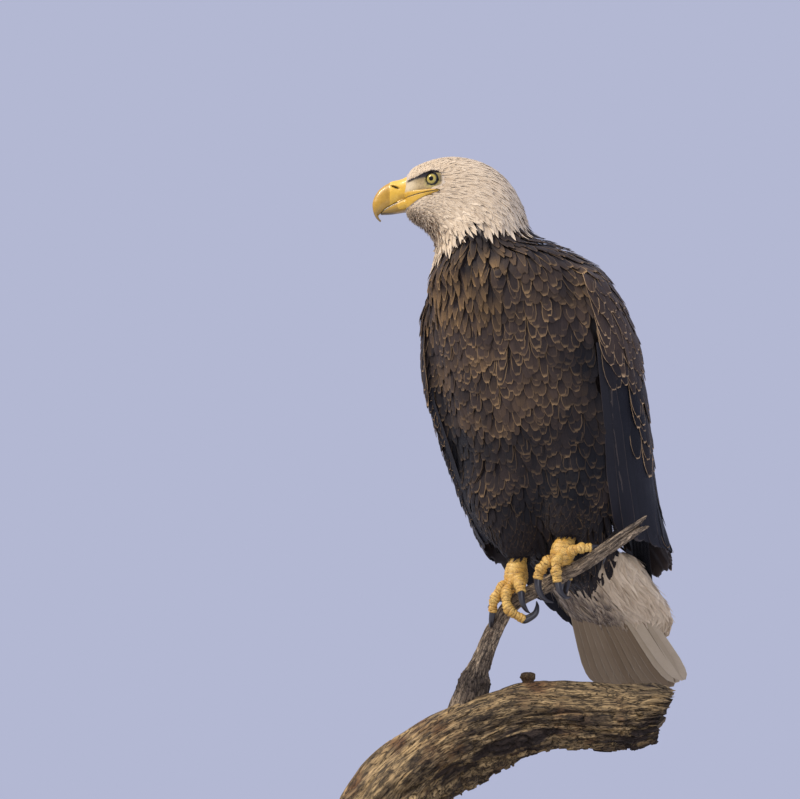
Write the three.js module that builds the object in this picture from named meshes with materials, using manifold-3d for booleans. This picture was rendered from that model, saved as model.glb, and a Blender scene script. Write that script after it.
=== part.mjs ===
// An adult bald eagle, life size, at rest on a cut length of dead limb, as a museum shows it.
// Two short rods and a round base hold the limb up. Millimetres, +Z up; the eagle's breast faces -Y
// and its left side +X. The origin is under the middle of the base, on the floor.
import * as THREE from "three";
import { mergeVertices } from "three/addons/utils/BufferGeometryUtils.js";
import Module from "manifold-3d";

const wasm = await Module();
wasm.setup();

// ---- Driving dimensions ----
// The eagle is modelled about a point on the perch between its feet.
const PERCH_HEIGHT = 464; // that point above the floor
const BASE_OFFSET = [-90, -40]; // middle of the base, seen from that point
const GAP = 0.3; // clearance between touching pieces
const LEAST_FACING = 0.3; // limits how far a sharp corner moves out for the gap
const HEAD_TURN = THREE.MathUtils.degToRad(-58); // the head looks over the right shoulder
const HEAD_MIDDLE = [-86, -140, 508]; // a point between the brows
const EYE_RADIUS = 12.5;
const EYE_SPREAD = 22.5; // eye centre from the head's middle plane
const EYE_DROP = 11; // eye centre below the brows' point
const EYE_SETBACK = 5;
const TOE_RADIUS = 7.5;
const TALON_RADIUS = 5.1;
const TAIL_LENGTH = 257;
const TAIL_FEATHERS = 12;
const TAIL_SLOPE = THREE.MathUtils.degToRad(49.5); // below level
const TAIL_ROOT = [0, 75, 60];
const TAIL_SWING = THREE.MathUtils.degToRad(-6); // to the bird's left
const TAIL_SPREAD = THREE.MathUtils.degToRad(26);
const QUILL_THICKNESS = 3.2; // of the stacked quill feathers
const BASE_RADIUS = 250;
const BASE_THICKNESS = 24;
const ROD_RADIUS = 8;
const ROD_SPACING = 50;
const ROD_DEPTH = 45; // how far a rod runs up into the limb
const LIMB_CUT_HEIGHT = 122; // the sawn face above the floor
const FLOOR = -PERCH_HEIGHT;
const HALF_SPACE = 400; // side of a block that stands for all there is on one side of a plane

const COLOURS = {
  brown: [0x35281f, 0.8, 0],
  dark: [0x1d1917, 0.7, 0],
  white: [0xe6dfd2, 0.8, 0],
  bill: [0xd9a826, 0.4, 0],
  foot: [0xc9962f, 0.6, 0],
  talon: [0x15151a, 0.3, 0],
  eye: [0xc9b95a, 0.1, 0],
  bark: [0x6b5a48, 0.95, 0],
  steel: [0x3a3a3c, 0.35, 0.9],
  plinth: [0x2a211c, 0.5, 0],
};

// ---- Solids ----
const point = (x, y, z) => new THREE.Vector3(x, y, z);

function solidOf(geometry) {
  for (const name of ["normal", "uv"]) geometry.deleteAttribute(name);
  const merged = mergeVertices(geometry, 1e-3);
  const corners = new Uint32Array(merged.index.array);
  const build = () =>
    new wasm.Manifold(
      new wasm.Mesh({
        numProp: 3,
        vertProperties: merged.attributes.position.array,
        triVerts: corners,
      }),
    );
  const made = build();
  if (made.volume() > 0) return made;
  corners.reverse();
  return build();
}

function geometryOf(solid) {
  const mesh = solid.getMesh();
  const places = new Float32Array(mesh.numVert * 3);
  for (let i = 0; i < mesh.numVert; i++) {
    const start = i * mesh.numProp;
    places.set(mesh.vertProperties.subarray(start, start + 3), i * 3);
  }
  return new THREE.BufferGeometry()
    .setAttribute("position", new THREE.BufferAttribute(places, 3))
    .setIndex(new THREE.BufferAttribute(mesh.triVerts, 1));
}

// The solid with its whole surface moved out, each corner as far as its sharpest face needs.
function swollen(solid, by) {
  const geometry = geometryOf(solid);
  geometry.computeVertexNormals();
  const { position, normal } = geometry.attributes;
  const corners = geometry.index.array;
  const facing = new Float32Array(position.count).fill(1);
  const triangle = new THREE.Triangle();
  const flat = point(0, 0, 0);
  for (let i = 0; i < corners.length; i += 3) {
    triangle.setFromAttributeAndIndices(position, corners[i], corners[i + 1], corners[i + 2]);
    triangle.getNormal(flat);
    for (const k of corners.subarray(i, i + 3)) {
      const dot = flat.dot(point(normal.getX(k), normal.getY(k), normal.getZ(k)));
      facing[k] = Math.min(facing[k], Math.max(dot, LEAST_FACING));
    }
  }
  for (let i = 0; i < position.count; i++) {
    const reach = by / facing[i];
    position.setXYZ(
      i,
      position.getX(i) + normal.getX(i) * reach,
      position.getY(i) + normal.getY(i) * reach,
      position.getZ(i) + normal.getZ(i) * reach,
    );
  }
  return solidOf(geometry);
}

const largest = (solid) =>
  solid.decompose().reduce((a, b) => (a.volume() > b.volume() ? a : b));

// The piece cut back to clear its neighbours by the gap.
function clearOf(piece, ...neighbours) {
  let rest = piece;
  for (const other of neighbours) {
    rest = rest.subtract(swollen(other, GAP)).subtract(other);
  }
  return largest(rest);
}

// A closed skin of rings. pointAt(along, turn) gives the point at 0..1 along, turn radians round.
function ringed(pointAt, around, along) {
  const geometry = new THREE.SphereGeometry(1, around, along);
  const places = geometry.attributes.position;
  const ringMiddle = (t) => {
    const sum = point(0, 0, 0);
    for (let k = 0; k < around; k++) {
      sum.add(pointAt(t, (2 * Math.PI * k) / around));
    }
    return sum.divideScalar(around);
  };
  for (let row = 0; row <= along; row++) {
    const pole = row === 0 || row === along;
    const t = Math.min(1, Math.max(0, (row - 1) / (along - 2)));
    for (let k = 0; k <= around; k++) {
      const turn = (2 * Math.PI * (k % around)) / around;
      const place = pole ? ringMiddle(t) : pointAt(t, turn);
      places.setXYZ(row * (around + 1) + k, place.x, place.y, place.z);
    }
  }
  return geometry;
}

// Smooth values between rows of stations: tween(rows)(t) is a row at 0..1.
function tween(rows) {
  const last = rows.length - 1;
  const spline = (a, b, c, d, f) =>
    b +
    0.5 *
      f *
      (c - a + f * (2 * a - 5 * b + 4 * c - d + f * (3 * (b - c) + d - a)));
  return (t) => {
    const at = Math.min(last - 1e-9, Math.max(0, t * last));
    const i = Math.floor(at);
    const pick = (k) => rows[Math.min(last, Math.max(0, k))];
    return rows[i].map((_, n) =>
      spline(pick(i - 1)[n], pick(i)[n], pick(i + 1)[n], pick(i + 2)[n], at - i),
    );
  };
}

// A body of level sections. Rows: height, middle y, half width, reach forward, reach back, and
// optionally middle x.
function stacked(rows, around, along) {
  const rowAt = tween(rows);
  return ringed(
    (t, turn) => {
      const [height, middle, half, front, back, middleX = 0] = rowAt(t);
      const reach = Math.cos(turn) > 0 ? back : front;
      return point(
        middleX + half * Math.sin(turn),
        middle + reach * Math.cos(turn),
        height,
      );
    },
    around,
    along,
  );
}

// A body drawn in profile. Rows: top y, top z, bottom y, bottom z, half width.
function profiled(rows, around, along, fullness = 1) {
  const rowAt = tween(rows);
  const power = (value) => Math.sign(value) * Math.abs(value) ** fullness;
  return ringed(
    (t, turn) => {
      const [topY, topZ, lowY, lowZ, half] = rowAt(t);
      const up = power(Math.cos(turn));
      return point(
        half * power(Math.sin(turn)),
        (topY + lowY) / 2 + (up * (topY - lowY)) / 2,
        (topZ + lowZ) / 2 + (up * (topZ - lowZ)) / 2,
      );
    },
    around,
    along,
  );
}

// A round body along a curve. Rows: x, y, z, radius. shape(t, turn) scales the radius.
function swept(rows, around, along, shape = () => 1) {
  const curve = new THREE.CatmullRomCurve3(rows.map(([x, y, z]) => point(x, y, z)));
  const radiusAt = tween(rows.map((row) => [row[3]]));
  const steps = along - 2;
  const { normals, binormals } = curve.computeFrenetFrames(steps);
  return ringed(
    (t, turn) => {
      const k = Math.round(t * steps);
      const radius = radiusAt(curve.getUtoTmapping(t))[0] * shape(t, turn);
      return curve
        .getPointAt(t)
        .addScaledVector(normals[k], radius * Math.cos(turn))
        .addScaledVector(binormals[k], radius * Math.sin(turn));
    },
    around,
    along,
  );
}

const mirrorX = (rows) => rows.map(([x, ...rest]) => [-x, ...rest]);

// ---- Head and neck, in the head's own frame: -Y ahead, origin between the brows ----
const intoBird = new THREE.Matrix4()
  .makeTranslation(...HEAD_MIDDLE)
  .multiply(new THREE.Matrix4().makeRotationZ(HEAD_TURN));
const headSolid = (geometry) => solidOf(geometry.applyMatrix4(intoBird));

// Rows: top y, top z, bottom y, bottom z, half width.
const HEAD_TO_NECK = [
  [-35, -9, -36, -40, 11],
  [-27, 8, -31, -51, 20],
  [-12, 17, -22, -60, 27],
  [5, 23, -13, -66, 32.5],
  [25, 26.5, -5, -72, 37],
  [48, 24.5, 1, -79, 41],
  [72, 17, 5, -86, 45],
  [93, 3, 7, -93, 49],
  [110, -17, 7, -101, 53],
  [121, -42, 5, -112, 57],
  [128, -72, 1, -128, 62],
  [130, -104, 0, -150, 67],
];
const NECK_CUT = [60, -40, 40]; // y, z of the parting plane between head and neck, and its lean in degrees

const UPPER_BILL = [
  [-27, 1, -27, -33, 13.5],
  [-38, -4.2, -37, -33.5, 13.5],
  [-51.5, -7.5, -48, -37.5, 11.5],
  [-64.6, -16, -57.5, -41, 9.2],
  [-72, -27, -63.5, -42, 7.2],
  [-74.4, -37, -66.6, -45, 5.4],
  [-73.1, -47, -66.8, -49.5, 3.9],
  [-69.5, -55, -65.5, -54, 2.7],
  [-64.3, -60.2, -63, -58, 1.2],
];
const LOWER_BILL = [
  [-27, -25, -27, -44, 11],
  [-37, -25, -37, -45.5, 10.5],
  [-49, -30, -50, -47.6, 8.6],
  [-58, -36, -60, -47.5, 6],
  [-63, -40, -64.5, -46.5, 3],
];
// The fleshy corner of the mouth, from the bill to below the eye. Rows: x, y, z, radius.
const GAPE = [
  [12.5, -37, -32, 3.4],
  [20.5, -25, -32.5, 3.4],
  [28, -11, -32.5, 3],
  [32.5, 3, -31.5, 2.6],
  [34, 10, -30, 1.8],
];
// The bony ridge over the eye, from the bill's root backwards. Rows: x, y, z, radius.
const BROW = [
  [14, -31, -12, 2.6],
  [22, -19, -6, 4],
  [28, -5, -1, 5],
  [31, 6, 0, 4.4],
  [33, 16, -4, 2.4],
];

function eye(side, room = 0) {
  const ball = new THREE.SphereGeometry(EYE_RADIUS + room, 8, 6).rotateZ(Math.PI / 2);
  return headSolid(ball.translate(side * EYE_SPREAD, EYE_SETBACK, -EYE_DROP));
}

// A slab that halves the head and neck: everything ahead of the parting plane.
function aheadOfNeck() {
  const [y, z, lean] = NECK_CUT;
  const block = new THREE.BoxGeometry(HALF_SPACE, HALF_SPACE, HALF_SPACE);
  block.translate(0, -HALF_SPACE / 2, 0);
  block.rotateX(THREE.MathUtils.degToRad(-lean));
  return headSolid(block.translate(0, y, z));
}

const eyes = [eye(1), eye(-1)];
const upperBill = headSolid(profiled(UPPER_BILL, 10, 12, 0.85));
const lowerBill = clearOf(headSolid(profiled(LOWER_BILL, 8, 7, 0.85)), upperBill);
const gapes = [GAPE, mirrorX(GAPE)].map((rows) =>
  clearOf(headSolid(swept(rows, 5, 5)), upperBill, lowerBill),
);
const brows = [BROW, mirrorX(BROW)].map((rows) => headSolid(swept(rows, 6, 6)));
const headAndNeck = headSolid(profiled(HEAD_TO_NECK, 16, 17, 0.92)).add(brows[0]).add(brows[1]);
const ahead = aheadOfNeck();
const sockets = eye(1, 2 * GAP).add(eye(-1, 2 * GAP));
const head = clearOf(
  headAndNeck.intersect(ahead).subtract(sockets),
  upperBill,
  lowerBill,
  ...gapes,
);
const neck = clearOf(headAndNeck.subtract(swollen(ahead, GAP)), head);

// ---- Trunk, thighs and tail coverts ----
// Rows: height, middle y, half width, reach forward, reach back.
const TRUNK = [
  [430, -70, 20, 20, 16],
  [421, -69, 52, 52, 38],
  [406, -64, 80, 82, 58],
  [386, -58, 103, 104, 76],
  [357, -52, 119, 115, 89],
  [316, -41, 129, 110, 98],
  [265, -27, 133, 105, 100],
  [212, -12, 129, 98, 97],
  [160, 4, 119, 89, 92],
  [112, 21, 103, 78, 80],
  [68, 38, 84, 62, 66],
  [30, 56, 62, 42, 50],
  [6, 70, 42, 26, 34],
  [-8, 79, 20, 12, 16],
];
// Rows: x, y, z, radius.
const LEFT_THIGH = [
  [52, -8, 158, 52],
  [50, -6, 125, 54],
  [46, -4, 94, 46],
  [41, -6, 70, 34],
  [37, -8, 54, 23],
  [36, -9, 46, 15],
];
const RIGHT_THIGH = [
  [-52, -10, 150, 54],
  [-50, -8, 112, 56],
  [-46, -4, 78, 48],
  [-41, -2, 50, 35],
  [-39, -3, 32, 24],
  [-38, -3, 24, 15],
];
// Rows: height, middle y, half width, reach below, reach above, middle x.
const TAIL_COVERTS = [
  [54, 84, 54, 26, 28, 0],
  [28, 104, 76, 42, 40, 2],
  [0, 128, 78, 48, 36, 6],
  [-26, 150, 80, 34, 28, 12],
  [-50, 176, 74, 10, 18, 14],
  [-66, 190, 58, 7, 10, 16],
  [-77, 199, 30, 4, 6, 18],
];

// The tail and its coverts swing together about the rump.
const RUMP = [0, 60];
const swung = (geometry) =>
  geometry
    .translate(-RUMP[0], -RUMP[1], 0)
    .rotateZ(TAIL_SWING)
    .translate(RUMP[0], RUMP[1], 0);

const trunk = clearOf(solidOf(stacked(TRUNK, 20, 16)), neck, head);
const thighs = [LEFT_THIGH, RIGHT_THIGH].map((rows) =>
  clearOf(solidOf(swept(rows, 12, 8)), trunk),
);

// ---- Quill feathers ----
// A closed sheet of side-by-side feathers. pointAt(s, t, outer) gives the point at 0..1 across,
// 0..1 from root to tip, on the outer or the inner face. Each feather has an edge and a shaft line.
function sheet(feathers, down, pointAt) {
  const slab = new THREE.BoxGeometry(1, 1, 1, 2 * feathers, down, 1);
  const places = slab.attributes.position;
  for (let i = 0; i < places.count; i++) {
    const place = pointAt(places.getX(i) + 0.5, 0.5 - places.getY(i), places.getZ(i) > 0);
    places.setXYZ(i, place.x, place.y, place.z);
  }
  return slab;
}

// 1 on a feather's shaft line and 0 at its edges.
const shaft = (s, feathers) => Math.abs(Math.sin(Math.PI * feathers * s));

const TAIL_ROOT_HALF = 9; // half width where the quills start
const TAIL_ROUNDING = 9; // how much shorter the outer feathers are
const TAIL_TIP = 6; // how far a feather's tip stands past its edges

// crestAt(s) gives the height of the outer face over the quills' thickness.
function tailFan(feathers, crestAt) {
  return sheet(feathers, 1, (s, t, outer) => {
    const out = 2 * s - 1;
    const tip = TAIL_TIP * (shaft(s, feathers) - 1);
    const reach = t * (TAIL_LENGTH - TAIL_ROUNDING * out * out + tip);
    const turn = (out * TAIL_SPREAD) / 2;
    return point(
      TAIL_ROOT_HALF * 2 * out + reach * Math.sin(turn),
      reach * Math.cos(turn),
      outer ? QUILL_THICKNESS + crestAt(s) : 0,
    );
  })
    .rotateX(-TAIL_SLOPE)
    .translate(...TAIL_ROOT);
}

const quills = tailFan(TAIL_FEATHERS, (s) => shaft(s, TAIL_FEATHERS));
const tailRoom = solidOf(swung(tailFan(1, () => 1)));
const tail = clearOf(solidOf(swung(quills)), trunk, ...thighs);
// The coverts over the quills and those under them part along the tail's plane.
const overTail = solidOf(
  swung(
    new THREE.BoxGeometry(HALF_SPACE, HALF_SPACE, HALF_SPACE)
      .translate(0, 0, HALF_SPACE / 2)
      .rotateX(-TAIL_SLOPE)
      .translate(...TAIL_ROOT),
  ),
);
const coverts = solidOf(swung(stacked(TAIL_COVERTS, 14, 8)));
const upperCoverts = clearOf(coverts.intersect(overTail), trunk, tailRoom, ...thighs);
const underCoverts = clearOf(coverts.subtract(swollen(overTail, GAP)), trunk, ...thighs);

// ---- Wings ----
// The folded left wing: height, then the leading edge, the widest place and the edge on the back,
// each as x, y, and last the thickness.
const LEFT_WING = [
  [397, 96, -84, 88, -32, 60, 2, 18],
  [388, 112, -94, 101, -26, 60, 13, 20],
  [370, 120, -98, 112, -24, 55, 36, 24],
  [346, 125, -100, 123, -18, 48, 56, 26],
  [308, 132, -95, 135, 2, 40, 77, 26],
  [257, 134, -83, 138, 15, 33, 92, 24],
  [202, 132, -65, 135, 35, 28, 102, 20],
  [149, 123, -42, 132, 53, 30, 114, 16],
  [96, 117, -14, 126, 77, 40, 128, 13],
  [56, 109, 12, 128, 98, 56, 148, 11],
  [38, 105, 26, 130, 115, 74, 168, 9],
];
const WING_EDGE = 4; // thickness at the leading edge
const SECONDARIES = 7; // quill tips along the lower edge
const SECONDARY_TIP = 8;
const WING_SLANT = 38; // how much lower the wing ends at the back
const SHOULDER_ROUNDING = 24; // how much lower the shoulder is at its two edges

function foldedWing(side) {
  const rowAt = tween(LEFT_WING);
  return sheet(SECONDARIES, 9, (s, t, outer) => {
    const [height, fx, fy, ox, oy, bx, by, thick] = rowAt(t);
    const curve = new THREE.QuadraticBezierCurve3(
      point(fx, fy, 0),
      point(2 * ox - (fx + bx) / 2, 2 * oy - (fy + by) / 2, 0),
      point(bx, by, 0),
    );
    const place = curve.getPoint(s);
    const inward = curve.getTangent(s).cross(point(0, 0, 1)).negate();
    const fullness = Math.sqrt(Math.sin(Math.PI * Math.min(s, 0.5)));
    if (!outer) place.addScaledVector(inward, WING_EDGE + (thick - WING_EDGE) * fullness);
    const tip = SECONDARY_TIP * (shaft(s, SECONDARIES) - 1) + WING_SLANT * s;
    const shoulder = SHOULDER_ROUNDING * (2 * s - 1) ** 2 * (1 - t) ** 4;
    return point(side * place.x, place.y, height - tip * t ** 5 - shoulder);
  });
}

// The wing tip past the folded wing. Its outermost quill is the longest.
const WING_TIPS = {
  left: { root: [74, 112, 44], tip: [30, 214, -84] },
  right: { root: [-78, 104, 44], tip: [-34, 218, -96] },
};
const PRIMARIES = 5; // those whose tips show
const PRIMARY_RECESS = 22; // each tip short of the next
const PRIMARY_NOTCH = 7;
const WING_TIP_WIDTH = 46;
const WING_TIP_FACING = [0.62, 0.5, 0.6];

function wingTip({ root, tip }, side) {
  const run = point(...tip).sub(point(...root));
  const along = run.clone().normalize();
  const facing = point(...WING_TIP_FACING).multiply(point(side, 1, 1));
  const across = along.clone().cross(facing).normalize().multiplyScalar(side);
  const outward = across.clone().cross(along).normalize().multiplyScalar(side);
  return sheet(PRIMARIES, 2, (s, t, outer) => {
    const ridge = shaft(s, PRIMARIES);
    const recess = PRIMARY_RECESS * PRIMARIES * s + PRIMARY_NOTCH * (1 - ridge);
    const reach = t * (run.length() - recess * t);
    const thick = QUILL_THICKNESS * (2 - t);
    return point(...root)
      .addScaledVector(along, reach)
      .addScaledVector(across, WING_TIP_WIDTH * (s - 0.5))
      .addScaledVector(outward, (outer ? thick : 0) + ridge);
  });
}

const wings = [1, -1].map((side) =>
  clearOf(solidOf(foldedWing(side)), trunk, ...thighs, upperCoverts, underCoverts, neck),
);
const wingTips = [
  wingTip(WING_TIPS.left, 1),
  wingTip(WING_TIPS.right, -1),
].map((made, n) => clearOf(solidOf(made), wings[n], upperCoverts, underCoverts, tail, trunk));

// ---- Perch ----
// Rows: x, y, z, radius.
const BRANCH = [
  [-109, -6, -158, 25],
  [-103, -9, -143, 21],
  [-91, -10, -109, 14],
  [-73, -10, -76, 11.8],
  [-54, -10, -47, 11],
  [-31, -10, -29, 10.5],
  [-1, -10, -18, 10],
  [28, -11, -5, 9.6],
  [60, -10, 8, 9.2],
  [92, -9, 27, 9.4],
  [120, -8, 43, 9],
  [139, -6, 54, 8],
];
const LIMB = [
  [124, 118, -176, 33],
  [108, 110, -177, 39],
  [84, 97, -178, 42],
  [39, 74, -179, 45],
  [-7, 50, -178, 44.5],
  [-53, 26, -184, 48],
  [-97, -1, -202, 52],
  [-139, -31, -230, 54],
  [-181, -61, -272, 55],
  [-214, -88, -323, 53],
  [-244, -112, -378, 53],
];
const KNOT = [-44, 32, -121]; // a snapped twig's stump on the limb
const KNOT_RADIUS = 13;
const ROD_MIDDLE = [-216, -90];
const ROD_LINE = THREE.MathUtils.degToRad(32); // direction of the pair of rods, in plan

const lumps = (t, turn) =>
  1 + 0.05 * Math.sin(3 * turn + 9 * t) + 0.04 * Math.sin(5 * turn - 17 * t + 1);

function rod(n) {
  const shift = (n - 0.5) * ROD_SPACING;
  const foot = FLOOR + BASE_THICKNESS / 3;
  const top = FLOOR + LIMB_CUT_HEIGHT + ROD_DEPTH;
  return solidOf(
    new THREE.CylinderGeometry(ROD_RADIUS, ROD_RADIUS, top - foot, 12)
      .rotateX(Math.PI / 2)
      .translate(
        ROD_MIDDLE[0] + shift * Math.cos(ROD_LINE),
        ROD_MIDDLE[1] + shift * Math.sin(ROD_LINE),
        (top + foot) / 2,
      ),
  );
}

function base() {
  const edge = 5;
  const half = BASE_THICKNESS;
  const profile = [
    [0, 0],
    [BASE_RADIUS, 0],
    [BASE_RADIUS, half - edge],
    [BASE_RADIUS - edge, half],
    [0, half],
  ].map(([r, z]) => new THREE.Vector2(r, z));
  return solidOf(
    new THREE.LatheGeometry(profile, 24)
      .rotateX(Math.PI / 2)
      .translate(BASE_OFFSET[0], BASE_OFFSET[1], FLOOR),
  );
}

const rods = [rod(0), rod(1)];
const branch = solidOf(swept(BRANCH, 9, 18, lumps));
const stump = solidOf(
  swept([[...KNOT.slice(0, 2), KNOT[2] - 20, KNOT_RADIUS], [...KNOT, KNOT_RADIUS]], 8, 4),
);
const belowCut = solidOf(
  new THREE.BoxGeometry(HALF_SPACE, HALF_SPACE, HALF_SPACE).translate(
    ROD_MIDDLE[0],
    ROD_MIDDLE[1],
    FLOOR + LIMB_CUT_HEIGHT - HALF_SPACE / 2,
  ),
);
// The limb's broken end: a block that bites off all past a plane, and one that bites a chip.
const BREAK = [126, 119, -143]; // highest point of the broken face
const BREAK_HEADING = 0.46; // plan angle of the face's normal, radians from +X
const BREAK_LEAN = 0.5; // radians the face leans back below
function bite(size, lean, shift) {
  const block = new THREE.BoxGeometry(size, size, size).translate(size / 2, shift[0], shift[1]);
  block.rotateY(lean).rotateZ(BREAK_HEADING);
  return solidOf(block.translate(...BREAK));
}
const broken = bite(160, BREAK_LEAN, [0, 0]).add(bite(60, BREAK_LEAN - 0.5, [-46, -62]));
const limb = clearOf(
  solidOf(swept(LIMB, 12, 14, lumps)).add(stump).subtract(belowCut).subtract(broken),
  branch,
  ...rods,
);
const plinth = clearOf(base(), ...rods);

// ---- Legs ----
// Shank with the pad of the foot. Rows: x, y, z, radius.
const LEFT_SHANK = [
  [42, 22, 84, 9.5],
  [39, 8, 62, 9.5],
  [36.5, -6, 44, 11],
  [35, -13, 31, 15.5],
  [34.5, -15.5, 20, 16],
  [35, -14, 9, 11],
];
const RIGHT_SHANK = [
  [-43, 26, 62, 9.5],
  [-40, 12, 42, 9.6],
  [-38, 0, 22, 11],
  [-38, -6, 9, 15],
  [-38, -8, -5, 16],
  [-38, -8, -17, 11],
];
// Each toe's middle line and then its talon's, with the toe's tip as the talon's root.
const LEFT_TOES = {
  outer: [[40, -16, 22], [54, -20, 27], [67, -20, 29], [77, -15, 29]],
  middle: [[35, -22, 20], [35.5, -33, 12], [36.5, -36, -3], [38, -35, -15]],
  inner: [[29, -20, 19], [19, -30, 12], [11, -34, 0], [8.5, -34, -9]],
  hind: [[34, -8, 18], [30, 6, 13], [27, 12, 3], [26, 12, -7]],
};
const LEFT_TALONS = {
  outer: [[83, -5, 29], [84, 4, 20], [80, 8, 9]],
  middle: [[40, -33, -26], [44, -27, -33], [47, -18, -32]],
  inner: [[9, -33, -22], [14, -27, -34], [22, -18, -38]],
  hind: [[26, 8, -19], [28, 1, -27], [32, -8, -29]],
};
const RIGHT_TOES = {
  outer: [[-41, -12, -4], [-50, -25, -16], [-58, -30, -32], [-62, -27, -47]],
  middle: [[-39, -14, -5], [-41, -28, -24], [-36, -30, -45], [-20, -18, -58]],
  inner: [[-34, -13, -4], [-26, -24, -8], [-19, -31, -15], [-16, -34, -25]],
  hind: [[-38, -2, -6], [-44, 8, -11], [-52, 10, -21], [-60, 8, -30]],
};
const RIGHT_TALONS = {
  outer: [[-66, -23, -59], [-71, -14, -67], [-73, -4, -68]],
  middle: [[-9, -12, -51], [-6, -10, -42], [-8, -8, -34]],
  inner: [[-15, -33, -37], [-13, -27, -46], [-12, -18, -50]],
  hind: [[-69, 8, -26], [-77, 3, -29], [-81, -6, -38]],
};

const PADS = 3.5; // swellings along a toe
const TOE_TAPER = 0.035; // share of its girth that a toe loses from joint to joint
const toePads = (t) => 1 + 0.09 * Math.cos(2 * PADS * Math.PI * t) - (t > 0.93 ? 0.35 : 0);

function toe(line, girth) {
  const rows = line.map(([x, y, z], n) => [x, y, z, girth * (1 - TOE_TAPER * n)]);
  return solidOf(swept(rows, 6, 8, toePads));
}

const TALON_SHARES = [1, 0.86, 0.6, 0.16]; // of its girth, from the root to the point

function talon(root, line, girth) {
  const rows = [root, ...line].map(([x, y, z], n) => [x, y, z, girth * TALON_SHARES[n]]);
  return solidOf(swept(rows, 5, 6));
}

const GIRTH = { outer: 0.95, middle: 1, inner: 1.05, hind: 1.1 };

// One leg's pieces as a list of [name, solid, colour].
function leg(side, shankRows, toes, talons, thigh) {
  const shank = clearOf(solidOf(swept(shankRows, 10, 8)), thigh, trunk, branch);
  const made = [[`shank_${side}`, shank, "foot"]];
  const before = [shank];
  for (const [name, line] of Object.entries(toes)) {
    const digit = clearOf(toe(line, TOE_RADIUS * GIRTH[name]), ...before, branch);
    before.push(digit);
    made.push([`toe_${name}_${side}`, digit, "foot"]);
  }
  for (const [name, line] of Object.entries(talons)) {
    const claw = clearOf(
      talon(toes[name].at(-1), line, TALON_RADIUS * GIRTH[name]),
      ...before,
      branch,
    );
    before.push(claw);
    made.push([`talon_${name}_${side}`, claw, "talon"]);
  }
  return made;
}

const legs = [
  ...leg("left", LEFT_SHANK, LEFT_TOES, LEFT_TALONS, thighs[0]),
  ...leg("right", RIGHT_SHANK, RIGHT_TOES, RIGHT_TALONS, thighs[1]),
];

// ---- The specimen ----
const specimen = new THREE.Group();
specimen.position.set(-BASE_OFFSET[0], -BASE_OFFSET[1], PERCH_HEIGHT);

function place(name, solid, colour) {
  const [color, roughness, metalness] = COLOURS[colour];
  const material = new THREE.MeshStandardMaterial({ color, roughness, metalness });
  const mesh = new THREE.Mesh(geometryOf(solid), material);
  mesh.name = name;
  specimen.add(mesh);
}

const PIECES = [
  ["head", head, "white"],
  ["neck", neck, "white"],
  ["bill_upper", upperBill, "bill"],
  ["bill_lower", lowerBill, "bill"],
  ["gape_left", gapes[0], "bill"],
  ["gape_right", gapes[1], "bill"],
  ["eye_left", eyes[0], "eye"],
  ["eye_right", eyes[1], "eye"],
  ["trunk", trunk, "brown"],
  ["thigh_left", thighs[0], "brown"],
  ["thigh_right", thighs[1], "brown"],
  ["wing_left", wings[0], "brown"],
  ["wing_right", wings[1], "brown"],
  ["primaries_left", wingTips[0], "dark"],
  ["primaries_right", wingTips[1], "dark"],
  ["tail_coverts_upper", upperCoverts, "white"],
  ["tail_coverts_under", underCoverts, "white"],
  ["tail", tail, "white"],
  ...legs,
  ["perch_branch", branch, "bark"],
  ["perch_limb", limb, "bark"],
  ["stand_base", plinth, "plinth"],
  ["stand_rod_1", rods[0], "steel"],
  ["stand_rod_2", rods[1], "steel"],
];
for (const piece of PIECES) place(...piece);

const root = new THREE.Group();
root.add(specimen);

export default root;
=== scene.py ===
"""The looks of the life-size bald eagle on its perch and stand.

One skin stands for the flesh and closed mesh feathers lie over it. Metres, +Z up; lengths in the
tables of sections are millimetres in the bird's own frame, as the part's driving dimensions are.
"""

import math
from contextlib import contextmanager
import bpy
import numpy as np
from mathutils import Matrix, Vector, noise
from mathutils.bvhtree import BVHTree
from mathutils.kdtree import KDTree


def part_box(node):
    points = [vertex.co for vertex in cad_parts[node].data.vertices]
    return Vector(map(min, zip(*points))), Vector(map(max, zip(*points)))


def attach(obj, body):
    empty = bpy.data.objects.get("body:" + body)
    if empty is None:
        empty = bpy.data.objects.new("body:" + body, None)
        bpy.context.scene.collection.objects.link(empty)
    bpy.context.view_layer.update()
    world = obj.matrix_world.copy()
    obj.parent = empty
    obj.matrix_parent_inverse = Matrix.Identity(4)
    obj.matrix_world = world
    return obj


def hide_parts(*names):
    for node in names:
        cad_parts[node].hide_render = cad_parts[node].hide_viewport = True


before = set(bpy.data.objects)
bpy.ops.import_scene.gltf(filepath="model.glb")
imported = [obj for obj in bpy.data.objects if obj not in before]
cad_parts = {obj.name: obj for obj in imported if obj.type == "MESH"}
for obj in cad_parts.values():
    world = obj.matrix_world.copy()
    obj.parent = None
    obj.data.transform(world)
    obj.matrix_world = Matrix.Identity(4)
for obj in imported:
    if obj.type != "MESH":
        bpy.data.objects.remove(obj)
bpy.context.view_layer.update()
chance = np.random.default_rng(7)

# ---- Frames ----
MM = 0.001
BIRD_AT = np.array([0.090, 0.040, 0.464])  # the point on the perch between the feet
HEAD_AT = BIRD_AT + np.array([-0.086, -0.140, 0.508])  # between the brows
HEAD_TURN = math.radians(-58)
FULL_TURN = 2 * math.pi

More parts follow.
